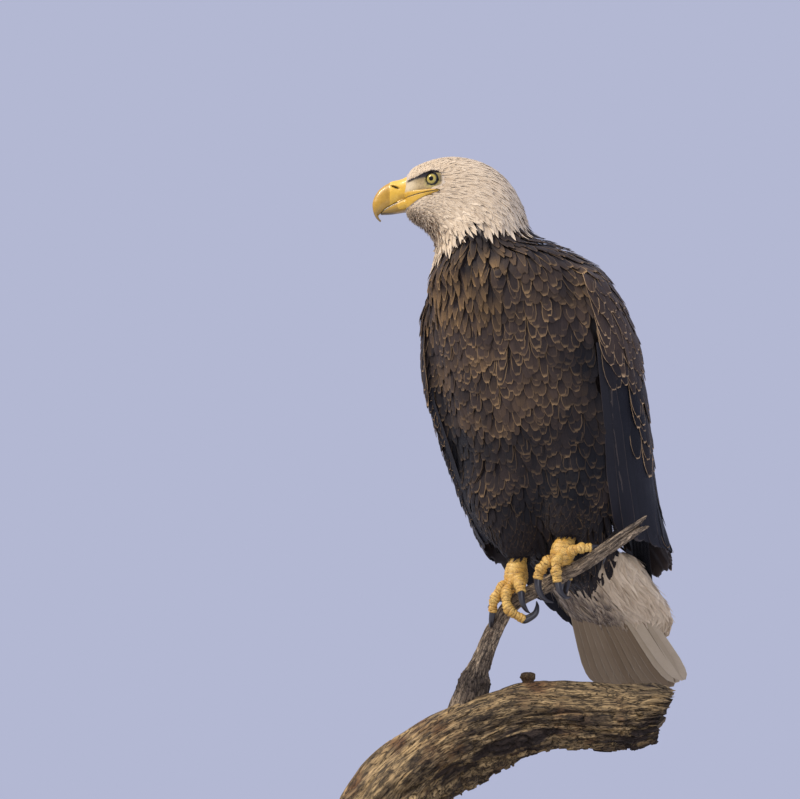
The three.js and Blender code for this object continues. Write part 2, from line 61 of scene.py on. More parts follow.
# ---- Sections of the body, as the solids have them ----
# Rows: top y, top z, bottom y, bottom z, half width, in the head's frame with -Y ahead.
HEAD_ROWS = [
    [-35, -9, -36, -40, 11],
    [-27, 8, -31, -51, 20],
    [-12, 17, -22, -60, 27],
    [5, 23, -13, -66, 32.5],
    [25, 26.5, -5, -72, 37],
    [48, 24.5, 1, -79, 41],
    [72, 17, 5, -86, 45],
    [93, 3, 7, -93, 49],
    [110, -17, 7, -101, 53],
    [121, -42, 5, -112, 57],
    [128, -72, 1, -128, 62],
    [130, -104, 0, -150, 67],
]
HEAD_FULLNESS = 0.92
# Rows: x, y, z, radius.
THIGH_ROWS = {
    "left": [[52, -8, 158, 52], [50, -6, 125, 54], [46, -4, 94, 46], [41, -6, 70, 34],
             [37, -8, 54, 23], [36, -9, 46, 15]],
    "right": [[-52, -10, 150, 54], [-50, -8, 112, 56], [-46, -4, 78, 48], [-41, -2, 50, 35],
              [-39, -3, 32, 24], [-38, -3, 24, 15]],
}
# Rows: height, middle y, half width, reach below, reach above, middle x, swung about the rump.
COVERT_ROWS = [
    [54, 84, 54, 26, 28, 0],
    [28, 104, 76, 42, 40, 2],
    [0, 128, 78, 48, 36, 6],
    [-26, 150, 80, 34, 28, 12],
    [-50, 176, 74, 10, 18, 14],
    [-66, 190, 58, 7, 10, 16],
    [-77, 199, 30, 4, 6, 18],
]
# Rows of the folded left wing: height, then x and y of the leading edge, the widest place and
# the edge on the back.
WING_ROWS = [
    [397, 96, -84, 88, -32, 60, 2],
    [388, 112, -94, 101, -26, 60, 13],
    [370, 120, -98, 112, -24, 55, 36],
    [346, 125, -100, 123, -18, 48, 56],
    [308, 132, -95, 135, 2, 40, 77],
    [257, 134, -83, 138, 15, 33, 92],
    [202, 132, -65, 135, 35, 28, 102],
    [149, 123, -42, 132, 53, 30, 114],
    [96, 117, -14, 126, 77, 40, 128],
    [56, 109, 12, 128, 98, 56, 148],
    [38, 105, 26, 130, 115, 74, 168],
]
WING_SLANT = 38
SHOULDER_ROUNDING = 24
TAIL_SLOPE = math.radians(49.5)
TAIL_SWING = math.radians(-6)
TAIL_ROOT = [0, 75, 60]
RUMP = [0, 60]


# ---- Small tools ----
def deselect():
    for each in bpy.context.selected_objects:
        each.select_set(False)


def only(thing):
    """Makes this the one selected and active object."""
    deselect()
    thing.select_set(True)
    bpy.context.view_layer.objects.active = thing


@contextmanager
def editing(thing):
    """Edit mode on one object, with all of it selected."""
    only(thing)
    bpy.ops.object.mode_set(mode="EDIT")
    bpy.ops.mesh.select_all(action="SELECT")
    yield
    bpy.ops.object.mode_set(mode="OBJECT")


def named(thing, name):
    thing.name = thing.data.name = name
    return thing


def fresh(name):
    """The primitive just added, named and with its place in its mesh."""
    bpy.ops.object.transform_apply(location=True)
    return named(bpy.context.object, name)


def twin_of(thing):
    """A second object with a mesh of its own."""
    twin = thing.copy()
    twin.data = thing.data.copy()
    bpy.context.scene.collection.objects.link(twin)
    return twin


def joined(parts, name):
    only(parts[0])
    for part in parts:
        part.select_set(True)
    bpy.ops.object.join()
    return named(parts[0], name)


def coordinates(thing):
    flat = np.empty(len(thing.data.vertices) * 3)
    thing.data.vertices.foreach_get("co", flat)
    return flat.reshape(-1, 3)


def vertex_normals(thing):
    flat = np.empty(len(thing.data.vertices) * 3)
    thing.data.vertex_normals.foreach_get("vector", flat)
    return flat.reshape(-1, 3)


def tree_of(thing):
    return BVHTree.FromPolygons([v.co for v in thing.data.vertices],
                                [p.vertices[:] for p in thing.data.polygons])


def move_to(thing, points):
    thing.data.vertices.foreach_set("co", np.ascontiguousarray(points, np.float32).ravel())
    thing.data.update()


def mesh_piece(name, points, faces):
    """A new object from points (n, 3) and equal-sided faces (m, 3 or 4)."""
    mesh = bpy.data.meshes.new(name)
    faces = np.asarray(faces, np.int32)
    mesh.vertices.add(len(points))
    mesh.vertices.foreach_set("co", np.ascontiguousarray(points, np.float32).ravel())
    mesh.loops.add(faces.size)
    mesh.loops.foreach_set("vertex_index", faces.ravel())
    mesh.polygons.add(len(faces))
    mesh.polygons.foreach_set("loop_start", np.arange(len(faces), dtype=np.int32) * faces.shape[1])
    mesh.update(calc_edges=True)
    thing = bpy.data.objects.new(name, mesh)
    bpy.context.scene.collection.objects.link(thing)
    return thing


def modify(thing, kind, **settings):
    """Adds a modifier and applies it."""
    only(thing)
    modifier = thing.modifiers.new(kind.lower(), kind)
    for key, value in settings.items():
        setattr(modifier, key, value)
    bpy.ops.object.modifier_apply(modifier=modifier.name)


def copy_of(name, *nodes):
    """One new object with the solids of these nodes, each closed again."""
    copies = [twin_of(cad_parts[node]) for node in nodes]
    for twin in copies:
        twin.parent = None
        twin.matrix_world = Matrix.Identity(4)
        for key in [k for k in twin.keys() if k.startswith("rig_")]:
            del twin[key]
        twin.hide_viewport = False
        twin.hide_set(False)
    whole = joined(copies, name)
    whole.data.materials.clear()
    with editing(whole):
        bpy.ops.mesh.remove_doubles(threshold=1e-5)
    return whole


def float_attribute(thing, name, values):
    attribute = thing.data.attributes.new(name, "FLOAT", "POINT")
    attribute.data.foreach_set("value", np.ascontiguousarray(values, np.float32))


def uv_map(thing, name, per_vertex):
    """A UV map from one place per vertex."""
    layer = thing.data.uv_layers.new(name=name)
    corner = np.empty(len(thing.data.loops), np.int32)
    thing.data.loops.foreach_get("vertex_index", corner)
    layer.uv.foreach_set("vector", np.asarray(per_vertex, np.float32)[corner].ravel())


def smooth(thing, degrees=50):
    only(thing)
    bpy.ops.object.shade_smooth_by_angle(angle=math.radians(degrees))


def finished(thing, material, slot, *replaced):
    """Gives a piece its material and its place on the part; the slot is not used."""
    thing.data.materials.clear()
    thing.data.materials.append(material)
    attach(thing, "root")
    if replaced:
        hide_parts(*replaced)
    return thing


def ease(value, low, high):
    """0 below low, 1 above high, smooth between."""
    share = np.clip((value - low) / (high - low), 0, 1)
    return share * share * (3 - 2 * share)


def unit(vectors):
    return vectors / np.maximum(np.linalg.norm(vectors, axis=-1, keepdims=True), 1e-12)


# ---- Surfaces of the body ----
def tween(rows):
    """Smooth values between rows of stations: tween(rows)(t) is a row at 0..1."""
    rows = np.array(rows, float)
    last = len(rows) - 1

    def row_at(t):
        place = np.clip(np.asarray(t, float) * last, 0, last - 1e-9)
        low = place.astype(int)
        f = (place - low)[..., None]
        a, b, c, d = (rows[np.clip(low + k, 0, last)] for k in (-1, 0, 1, 2))
        return b + 0.5 * f * (c - a + f * (2 * a - 5 * b + 4 * c - d + f * (3 * (b - c) + d - a)))

    return row_at


def from_bird(points):
    return points * MM + BIRD_AT


def in_bird(points):
    """x, y and z in millimetres in the bird's frame, for places in metres in the part's."""
    return np.moveaxis((points - BIRD_AT) / MM, -1, 0)


def from_head(points):
    c, s = math.cos(HEAD_TURN), math.sin(HEAD_TURN)
    x, y, z = np.moveaxis(np.asarray(points, float), -1, 0)
    return np.stack([c * x - s * y, s * x + c * y, z], -1) * MM + HEAD_AT


def head_direction(vector):
    """A direction in the head's frame as one in the part's, a millimetre for each unit."""
    return from_head(np.array(vector, float)) - from_head(np.zeros(3))


def to_head(points):
    """From the part's frame in metres to the head's frame in millimetres."""
    c, s = math.cos(HEAD_TURN), math.sin(HEAD_TURN)
    x, y, z = np.moveaxis((np.asarray(points, float) - HEAD_AT) / MM, -1, 0)
    return np.stack([c * x + s * y, -s * x + c * y, z], -1)


def swing(points):
    """Swings the tail about the rump."""
    c, s = math.cos(TAIL_SWING), math.sin(TAIL_SWING)
    x, y, z = np.moveaxis(points, -1, 0)
    y = y - RUMP[1]
    return np.stack([c * x - s * y, s * x + c * y + RUMP[1], z], -1)


def round_sections(rows, fullness, shape=lambda turn, place: place):
    """Rounded sections along the head's frame, such as HEAD_ROWS; shape alters their places."""
    row_at = tween(rows)

    def ring_at(t, turn):
        top_y, top_z, low_y, low_z, half = np.moveaxis(row_at(t), -1, 0)
        up, out = (np.sign(a) * np.abs(a) ** fullness for a in (np.cos(turn), np.sin(turn)))
        place = np.stack([half * out, (top_y + low_y + up * (top_y - low_y)) / 2,
                          (top_z + low_z + up * (top_z - low_z)) / 2], -1)
        return from_head(shape(turn, place))

    return ring_at


def covert_surface():
    row_at = tween(COVERT_ROWS)

    def place(t, turn):
        height, middle_y, half, below, above, middle_x = np.moveaxis(row_at(t), -1, 0)
        reach = np.where(np.cos(turn) > 0, above, below)
        x = middle_x + half * np.sin(turn)
        return from_bird(swing(np.stack([x, middle_y + reach * np.cos(turn), height + 0 * x], -1)))

    return place


def tube_surface(rows):
    row_at = tween(rows)

    def place(t, turn):
        x, y, z, radius = np.moveaxis(row_at(t), -1, 0)
        side, ahead = radius * np.sin(turn), radius * np.cos(turn)
        return from_bird(np.stack([x + side, y + ahead, z + 0 * side], -1))

    return place


def wing_surface(side):
    row_at = tween(WING_ROWS)

    def place(t, across):
        height, fx, fy, ox, oy, bx, by = np.moveaxis(row_at(t), -1, 0)
        mx, my = 2 * ox - (fx + bx) / 2, 2 * oy - (fy + by) / 2
        one = 1 - across
        x = one * one * fx + 2 * one * across * mx + across * across * bx
        y = one * one * fy + 2 * one * across * my + across * across * by
        drop = WING_SLANT * across * t ** 5
        drop = drop + SHOULDER_ROUNDING * (2 * across - 1) ** 2 * np.clip(1 - t, 0, 1) ** 4
        return from_bird(np.stack([side * x, y, height - drop], -1))

    return place


def past_the_end(surface, start=0.004, end=0.99):
    """The surface carried straight on before its first ring and past its last."""

    def place(t, turn):
        t = np.asarray(t, float)
        within = np.clip(t, start, end)
        step = 0.01
        ahead = (surface(within, turn) - surface(within - step, turn)) / step
        ahead = np.where((t < start)[..., None],
                         (surface(within + step, turn) - surface(within, turn)) / step, ahead)
        return surface(within, turn) + ahead * (t - within)[..., None]

    return place


# ---- Finishes ----
def node(tree, kind, inputs=None, **settings):
    made = tree.nodes.new(kind)
    for name, value in settings.items():
        setattr(made, name, value)
    for key, value in (inputs or {}).items():
        if isinstance(value, bpy.types.NodeSocket):
            tree.links.new(value, made.inputs[key])
        else:
            made.inputs[key].default_value = value
    return made


def calc(tree, operation, a, b=0.0, c=0.0):
    return node(tree, "ShaderNodeMath", {0: a, 1: b, 2: c}, operation=operation).outputs[0]


def span(tree, value, low, high, to_low=0.0, to_high=1.0):
    """The value brought from low..high to another range, smooth at both ends."""
    inputs = {"Value": value, "From Min": low, "From Max": high,
              "To Min": to_low, "To Max": to_high}
    return node(tree, "ShaderNodeMapRange", inputs, interpolation_type="SMOOTHSTEP").outputs[0]


def blend(tree, factor, a, b, how="MIX"):
    return node(tree, "ShaderNodeMix", {0: factor, 6: a, 7: b}, data_type="RGBA",
                blend_type=how).outputs[2]


def attribute(tree, name):
    return node(tree, "ShaderNodeAttribute", attribute_name=name).outputs["Fac"]


def clouds(tree, vector, scale, detail=3.0, rough=0.55):
    inputs = {"Vector": vector, "Scale": scale, "Detail": detail, "Roughness": rough}
    return node(tree, "ShaderNodeTexNoise", inputs).outputs["Fac"]


def stretched(tree, vector, scale):
    return node(tree, "ShaderNodeMapping", {"Vector": vector, "Scale": scale}).outputs[0]


def group(name, inputs, outputs, fill):
    """A shader node group. inputs: (name, kind, default); fill(tree, in, out) builds it."""
    tree = bpy.data.node_groups.new(name, "ShaderNodeTree")
    for title, kind, default in inputs:
        socket = tree.interface.new_socket(name=title, in_out="INPUT",
                                           socket_type=f"NodeSocket{kind}")
        if default is not None:
            socket.default_value = default
    for title, kind in outputs:
        tree.interface.new_socket(name=title, in_out="OUTPUT",
                                  socket_type=f"NodeSocket{kind}")
    entry, leave = node(tree, "NodeGroupInput"), node(tree, "NodeGroupOutput")
    for title, socket in fill(tree, entry.outputs).items():
        tree.links.new(socket, leave.inputs[title])
    return tree


def use(tree, shared, inputs):
    return node(tree, "ShaderNodeGroup", inputs, node_tree=shared).outputs


def colour(*screen):
    """A colour given in the usual 0..255 screen values of red, green and blue."""
    straight = [((c / 255 + 0.055) / 1.055) ** 2.4 if c > 10 else c / 255 / 12.92 for c in screen]
    return (*straight, 1.0)


def finish(name, fill):
    """A material: fill(tree, shader) links the Principled shader."""
    material = bpy.data.materials.new(name)
    material.use_nodes = True
    fill(material.node_tree, material.node_tree.nodes["Principled BSDF"])
    return material


def painted(tree, shader, base, constants):
    """Links the base colour and sets the shader's sockets that stay the same all over."""
    tree.links.new(base, shader.inputs["Base Color"])
    for socket, value in constants.items():
        shader.inputs[socket].default_value = value


def bumped(tree, shader, height, strength, distance):
    bump = node(tree, "ShaderNodeBump",
                {"Height": height, "Strength": strength, "Distance": distance})
    tree.links.new(bump.outputs[0], shader.inputs["Normal"])


def fill_vane(tree, given):
    """A feather's web: barbs that run out and on from the shaft, and a worn pale edge."""
    apart = node(tree, "ShaderNodeSeparateXYZ", {0: given["Place"]}).outputs
    across = calc(tree, "ABSOLUTE", calc(tree, "MULTIPLY_ADD", apart[0], 2.0, -1.0))
    along = apart[1]
    slant = calc(tree, "SUBTRACT", calc(tree, "MULTIPLY", along, given["Barbs"]),
                 calc(tree, "MULTIPLY", across, calc(tree, "MULTIPLY", given["Barbs"], 0.35)))
    uneven = clouds(tree, stretched(tree, given["Place"], (3.0, 9.0, 1.0)), 2.0, 2.0)
    wave = calc(tree, "SINE", calc(tree, "ADD", calc(tree, "MULTIPLY", slant, 6.283),
                                   calc(tree, "MULTIPLY", uneven, 9.0)))
    barb = calc(tree, "MULTIPLY_ADD", wave, 0.5, 0.5)
    side = calc(tree, "SUBTRACT", 1.0, across)
    end = calc(tree, "MULTIPLY", calc(tree, "SUBTRACT", 1.0, along), given["End reach"])
    inside = calc(tree, "SMOOTH_MIN", side, end, 0.12)
    ragged = calc(tree, "MULTIPLY_ADD", uneven, 0.10, inside)
    edge_end = calc(tree, "ADD", given["Edge"], 0.06)
    edge = calc(tree, "SUBTRACT", 1.0, span(tree, ragged, 0.06, edge_end))
    shaft = calc(tree, "SUBTRACT", 1.0, span(tree, across, 0.03, 0.10))
    height = calc(tree, "ADD", calc(tree, "MULTIPLY", barb, 0.5), shaft)
    outer = span(tree, calc(tree, "MULTIPLY_ADD", uneven, 0.3, along), 0.55, 1.15)
    return {"Edge": edge, "Shaft": shaft, "Barb": barb, "Height": height, "Outer": outer}


VANE = group("feather web", [("Place", "Vector", None), ("Barbs", "Float", 26.0),
                             ("End reach", "Float", 3.0), ("Edge", "Float", 0.22)],
             [("Edge", "Float"), ("Shaft", "Float"), ("Barb", "Float"), ("Height", "Float"),
              ("Outer", "Float")], fill_vane)


def fill_mottle(tree, given):
    """Slow and fine unevenness of a natural surface."""
    slow = clouds(tree, given["Place"], given["Size"], 3.0)
    fine = clouds(tree, given["Place"], calc(tree, "MULTIPLY", given["Size"], 6.0), 2.0)
    both = calc(tree, "MULTIPLY_ADD", calc(tree, "SUBTRACT", fine, 0.5), 0.4, slow)
    return {"Value": span(tree, both, 0.25, 0.75)}


MOTTLE = group("mottle", [("Place", "Vector", None), ("Size", "Float", 20.0)], [("Value", "Float")],
               fill_mottle)


def object_place(tree):
    return node(tree, "ShaderNodeTexCoord").outputs["Object"]


def own_map(tree, name):
    return node(tree, "ShaderNodeUVMap", uv_map=name).outputs[0]


def feather_finish(name, dark, light, edge, edge_strength, barbs=26.0, shaded=None, gold_and_painted_light=None,
                   rough=0.62, edge_width=0.22, end_reach=3.0, relief=0.35, barb_depth=0.25):
    """One colour of plumage. dark and light are the ends of its range from feather to feather."""

    def fill(tree, shader):
        web = use(tree, VANE, {"Place": own_map(tree, "Vane"), "Barbs": barbs, "Edge": edge_width,
                               "End reach": end_reach})
        patchy = use(tree, MOTTLE, {"Place": object_place(tree), "Size": 16.0})["Value"]
        tone = calc(tree, "MULTIPLY_ADD", attribute(tree, "tone"), 0.5,
                    calc(tree, "MULTIPLY", patchy, 0.3))
        tone = calc(tree, "MULTIPLY_ADD", web["Outer"], 0.3, tone)
        base = blend(tree, tone, dark, light)
        # The feathers' ends take a tint: golden on brown plumage, partly their own colour and
        # partly painted highlight; on the tail coverts, painted shade.
        if gold_and_painted_light:
            ends = calc(tree, "MULTIPLY", attribute(tree, "gold_and_painted_light"), web["Outer"])
            base = blend(tree, ends, base, gold_and_painted_light)
        # The shade mark: painted shade in most places, real streaks and dark quills in some.
        if shaded:
            base = blend(tree, attribute(tree, "shade"), base, shaded)
        dimmed = blend(tree, 1.0, base, (0.45, 0.43, 0.42, 1), "MULTIPLY")
        base = blend(tree, calc(tree, "MULTIPLY", web["Barb"], barb_depth), base, dimmed)
        base = blend(tree, calc(tree, "MULTIPLY", web["Shaft"], 0.35), base, dimmed)
        worn = calc(tree, "MULTIPLY", web["Edge"], attribute(tree, "fringe"))
        worn = calc(tree, "MULTIPLY", worn, calc(tree, "MULTIPLY_ADD", patchy, 0.7, 0.5))
        strength = calc(tree, "MULTIPLY", worn, edge_strength)
        painted(tree, shader, blend(tree, strength, base, edge),
                {"Roughness": rough, "Sheen Weight": 0.04, "Specular IOR Level": 0.2})
        bumped(tree, shader, web["Height"], relief, 0.0004)

    return finish(name, fill)


# Its shaded colour is painted shade, near black and blue: the belly, thighs and the grooves beside
# the wings.
BROWN_FEATHER = feather_finish("brown body feathers", colour(28, 23, 24), colour(70, 57, 50),
                               colour(182, 148, 102), 0.75, shaded=colour(16, 15, 20),
                               gold_and_painted_light=colour(142, 112, 72), edge_width=0.24, end_reach=2.2,
                               barb_depth=0.4)
# Its shaded colour is the dark of the quills, and painted shade along the leading edge beside the
# breast.
WING_FEATHER = feather_finish("brown wing coverts", colour(36, 30, 31), colour(70, 58, 52),
                              colour(212, 176, 130), 1.0, shaded=colour(18, 19, 26),
                              gold_and_painted_light=colour(140, 108, 72), edge_width=0.13, end_reach=4.0)
FLIGHT_FEATHER = feather_finish("dark flight feathers", colour(17, 19, 27), colour(30, 30, 38),
                                colour(96, 84, 76), 0.5, 60.0, edge_width=0.05, end_reach=12.0,
                                rough=0.5)
# Its shaded colour gives real grey streaks and some painted shade on the head's sides and throat;
# its end tint (74, 62, 56) is painted shade under the tail coverts.
WHITE_FEATHER = feather_finish("white plumage feathers", colour(206, 184, 152),
                               colour(238, 220, 190), colour(244, 230, 206), 0.5, 16.0,
                               shaded=colour(118, 94, 70), gold_and_painted_light=colour(74, 62, 56), relief=0.3,
                               barb_depth=0.14)
# Its shaded colour is painted shade on the tail's underside.
TAIL_FEATHER = feather_finish("white tail feathers", colour(186, 168, 138), colour(216, 200, 172),
                              colour(232, 220, 196), 0.5, 70.0, shaded=colour(130, 110, 84),
                              edge_width=0.06, end_reach=10.0, relief=0.3)


def fill_skin(tree, shader):
    place = object_place(tree)
    uneven = use(tree, MOTTLE, {"Place": place, "Size": 60.0})["Value"]
    down = blend(tree, attribute(tree, "white"), colour(46, 37, 34), colour(196, 182, 162))
    face = blend(tree, uneven, colour(150, 128, 84), colour(190, 166, 116))
    bristles = clouds(tree, stretched(tree, place, (900.0, 900.0, 300.0)), 1.0, 2.0)
    face = blend(tree, span(tree, bristles, 0.5, 0.7, 0.0, 0.5), face, colour(104, 86, 64))
    face = blend(tree, attribute(tree, "paler"), face, colour(214, 198, 164))
    down = blend(tree, attribute(tree, "lores"), down, face)
    lid = blend(tree, uneven, colour(186, 170, 92), colour(150, 134, 84))
    down = blend(tree, attribute(tree, "lid"), down, lid)
    lips = blend(tree, uneven, colour(198, 156, 56), colour(222, 182, 84))
    down = blend(tree, attribute(tree, "lips"), down, lips)
    # Painted shadow under the brow ridge over its dark bare skin, and painted shade in the lid's
    # crease and under the chin.
    down = blend(tree, attribute(tree, "brow"), down, colour(52, 46, 44))
    down = blend(tree, attribute(tree, "rim"), down, colour(30, 26, 25))
    foot = blend(tree, uneven, colour(206, 156, 64), colour(238, 198, 108))
    broken = span(tree, clouds(tree, place, 260.0, 2.0), 0.38, 0.62)
    foot = blend(tree, calc(tree, "MULTIPLY", attribute(tree, "crease"), broken), foot,
                 colour(112, 82, 44))
    grime = use(tree, MOTTLE, {"Place": place, "Size": 150.0})["Value"]
    foot = blend(tree, span(tree, grime, 0.5, 1.0, 0.0, 0.45), foot, colour(120, 92, 52))
    cells = node(tree, "ShaderNodeTexVoronoi", {"Vector": place, "Scale": 430.0},
                 feature="DISTANCE_TO_EDGE").outputs["Distance"]
    foot = blend(tree, span(tree, cells, 0.0, 0.14, 0.5, 0.0), foot, colour(128, 94, 48))
    painted(tree, shader, blend(tree, attribute(tree, "foot"), down, foot), {"Roughness": 0.5})
    bumped(tree, shader, calc(tree, "MULTIPLY", cells, attribute(tree, "foot")), 0.5, 0.0005)


SKIN_FINISH = finish("skin", fill_skin)


def fill_bill(tree, shader):
    place = object_place(tree)
    uneven = use(tree, MOTTLE, {"Place": place, "Size": 45.0})["Value"]
    grown = clouds(tree, stretched(tree, own_map(tree, "Grain"), (3.0, 40.0, 1.0)), 3.0, 2.0)
    horn = blend(tree, uneven, colour(176, 134, 34), colour(204, 160, 54))
    horn = blend(tree, calc(tree, "MULTIPLY", grown, 0.35), horn, colour(144, 104, 38))
    # Darker towards the hook; on the lower bill the same mark is painted shade along its underside.
    horn = blend(tree, attribute(tree, "tip"), horn, colour(140, 112, 54))
    fleshy = blend(tree, uneven, colour(220, 172, 50), colour(238, 194, 76))
    horn = blend(tree, attribute(tree, "cere"), horn, fleshy)
    # Painted shade, near black, in the nostrils, along the mouth's seam and under the lower bill's
    # edge.
    painted(tree, shader, blend(tree, attribute(tree, "painted_shade"), horn, colour(22, 16, 12)),
            {"Roughness": 0.38, "Coat Weight": 0.15})
    bumped(tree, shader, grown, 0.12, 0.0005)


BILL_FINISH = finish("bill horn", fill_bill)


def fill_talon(tree, shader):
    grown = clouds(tree, stretched(tree, own_map(tree, "Grain"), (9.0, 2.0, 1.0)), 4.0, 3.0)
    painted(tree, shader, blend(tree, grown, colour(16, 16, 20), colour(52, 50, 54)),
            {"Roughness": 0.28, "Coat Weight": 0.3})
    bumped(tree, shader, grown, 0.15, 0.0004)


TALON_FINISH = finish("talon horn", fill_talon)


def fill_eye(tree, shader):
    place = node(tree, "ShaderNodeVectorMath", {0: own_map(tree, "Iris"), 1: (-0.5, -0.5, 0)},
                 operation="ADD").outputs[0]
    reach = node(tree, "ShaderNodeVectorMath", {0: place}, operation="LENGTH").outputs["Value"]
    spoke = node(tree, "ShaderNodeVectorMath", {0: place}, operation="NORMALIZE").outputs[0]
    spokes = clouds(tree, spoke, 9.0, 4.0, 0.7)
    iris = blend(tree, spokes, colour(142, 122, 44), colour(206, 190, 92))
    iris = blend(tree, span(tree, reach, 0.21, 0.262), iris, colour(96, 88, 50))
    iris = blend(tree, span(tree, reach, 0.115, 0.128), colour(6, 6, 8), iris)
    painted(tree, shader, blend(tree, span(tree, reach, 0.262, 0.278), iris, colour(9, 8, 8)),
            {"Roughness": 0.12, "Specular IOR Level": 0.3, "Coat Weight": 0.25,
             "Coat Roughness": 0.03})


EYE_FINISH = finish("eye", fill_eye)


def fill_grain(tree, given):
    """Wood that has weathered: long streaks, dark checks and a patchy bloom."""
    place = given["Place"]
    streaks = clouds(tree, stretched(tree, place, given["Stretch"]), given["Size"], 5.0, 0.65)
    checks = clouds(tree, stretched(tree, place, given["Stretch"]),
                    calc(tree, "MULTIPLY", given["Size"], 2.3), 3.0, 0.6)
    crack = calc(tree, "SUBTRACT", 1.0,
                 span(tree, calc(tree, "ABSOLUTE", calc(tree, "SUBTRACT", checks, 0.5)),
                      0.0, 0.045))
    bloom = clouds(tree, given["Spot"], 22.0, 4.0, 0.6)
    body = blend(tree, span(tree, streaks, 0.3, 0.7), given["Dark"], given["Light"])
    body = blend(tree, span(tree, bloom, 0.50, 0.74), body, given["Bloom"])
    body = blend(tree, calc(tree, "MULTIPLY", crack, 0.8), body, (0.012, 0.009, 0.007, 1))
    height = calc(tree, "SUBTRACT", streaks, calc(tree, "MULTIPLY", crack, 0.8))
    return {"Colour": body, "Height": height}


GRAIN = group("weathered grain", [("Place", "Vector", None), ("Spot", "Vector", None),
                                  ("Stretch", "Vector", (1, 1, 1)), ("Size", "Float", 6.0),
                                  ("Dark", "Color", None), ("Light", "Color", None),
                                  ("Bloom", "Color", None)],
              [("Colour", "Color"), ("Height", "Float")], fill_grain)


def wood_finish(name, dark, light, bloom, stretch, size, rough, relief, mapped=True, under=None):
    under = under or dark

    def fill(tree, shader):
        spot = object_place(tree)
        place = own_map(tree, "Grain") if mapped else spot
        wood = use(tree, GRAIN, {"Place": place, "Spot": spot, "Stretch": stretch, "Size": size,
                                 "Dark": dark, "Light": light, "Bloom": bloom})
        body = blend(tree, attribute(tree, "crease"), wood["Colour"], under)
        painted(tree, shader, body, {"Roughness": rough})
        bumped(tree, shader, wood["Height"], relief, 0.003)

    return finish(name, fill)


WOOD_FINISH = wood_finish("weathered limb", colour(36, 27, 22), colour(206, 174, 120),
                          colour(120, 86, 52), (9.0, 2.2, 1.0), 5.0, 0.85, 1.0,
                          under=colour(50, 37, 27))
BARK_FINISH = wood_finish("branch bark", colour(52, 42, 36), colour(212, 188, 154),
                          colour(104, 84, 66), (5.0, 3.0, 1.0), 5.0, 0.88, 1.0)
BASE_FINISH = wood_finish("dark stained plinth", colour(38, 24, 17), colour(62, 40, 27),
                          colour(50, 32, 22), (3.0, 40.0, 3.0), 2.0, 0.35, 0.08, mapped=False)


def fill_steel(tree, shader):
    brushed = clouds(tree, stretched(tree, object_place(tree), (900.0, 900.0, 12.0)), 1.0, 3.0)
    painted(tree, shader, blend(tree, brushed, colour(96, 96, 100), colour(132, 132, 136)),
            {"Metallic": 1.0})
    tree.links.new(span(tree, brushed, 0.2, 0.8, 0.26, 0.42), shader.inputs["Roughness"])


STEEL_FINISH = finish("brushed rod steel", fill_steel)


def fill_floor(tree, shader):
    uneven = use(tree, MOTTLE, {"Place": object_place(tree), "Size": 1.2})["Value"]
    painted(tree, shader, blend(tree, uneven, colour(206, 206, 210), colour(214, 214, 217)),
            {"Roughness": 0.8})


FLOOR_FINISH = finish("pale floor", fill_floor)


# ---- Skin ----
FLESH = ["head", "neck", "trunk", "thigh_left", "thigh_right", "wing_left", "wing_right"]
TAIL_COVERTS = ["tail_coverts_upper", "tail_coverts_under"]
FEET = [f"{part}_{side}" for side in ("left", "right")
        for part in ("shank", "toe_outer", "toe_middle", "toe_inner", "toe_hind")]
BODY_VOXEL = 0.0032
COAT_VOXEL = 0.0045
GROOVE_REACH = 0.017  # the coat lies straight over grooves narrower than twice this
EYE_CENTRE = np.array([22.5, 5, -11])  # the left eye, in the head's frame
EYE_RADIUS = 12.5


def outer_shell():
    """The outline of the flesh and coat as one closed smooth surface."""
    shell = copy_of("shell", *FLESH, *TAIL_COVERTS, "eye_left", "eye_right")
    modify(shell, "REMESH", mode="VOXEL", voxel_size=BODY_VOXEL)
    modify(shell, "SMOOTH", factor=0.6, iterations=8)
    return shell


def bridged(shell):
    """The outline with its narrow grooves filled, as the coat lies over them."""
    wide = twin_of(shell)
    for step in (GROOVE_REACH, -GROOVE_REACH):
        move_to(wide, coordinates(wide) + vertex_normals(wide) * step)
        modify(wide, "REMESH", mode="VOXEL", voxel_size=COAT_VOXEL)
        modify(wide, "SMOOTH", factor=0.6, iterations=5)
    return wide


# The swell of the breast under the right side of the collar: middle in the bird's frame, then
# radius and height in metres.
SWELL_AT, SWELL_RADIUS, SWELL = (-97, -128, 348), 0.034, 0.0085
CROWD = 13  # tries for each place that scattering keeps


def swollen_breast(thing):
    points = coordinates(thing)
    reach = np.linalg.norm(points - from_bird(np.array(SWELL_AT)), axis=1) / SWELL_RADIUS
    move_to(thing, points + vertex_normals(thing) * (SWELL * np.exp(-reach ** 2))[:, None])


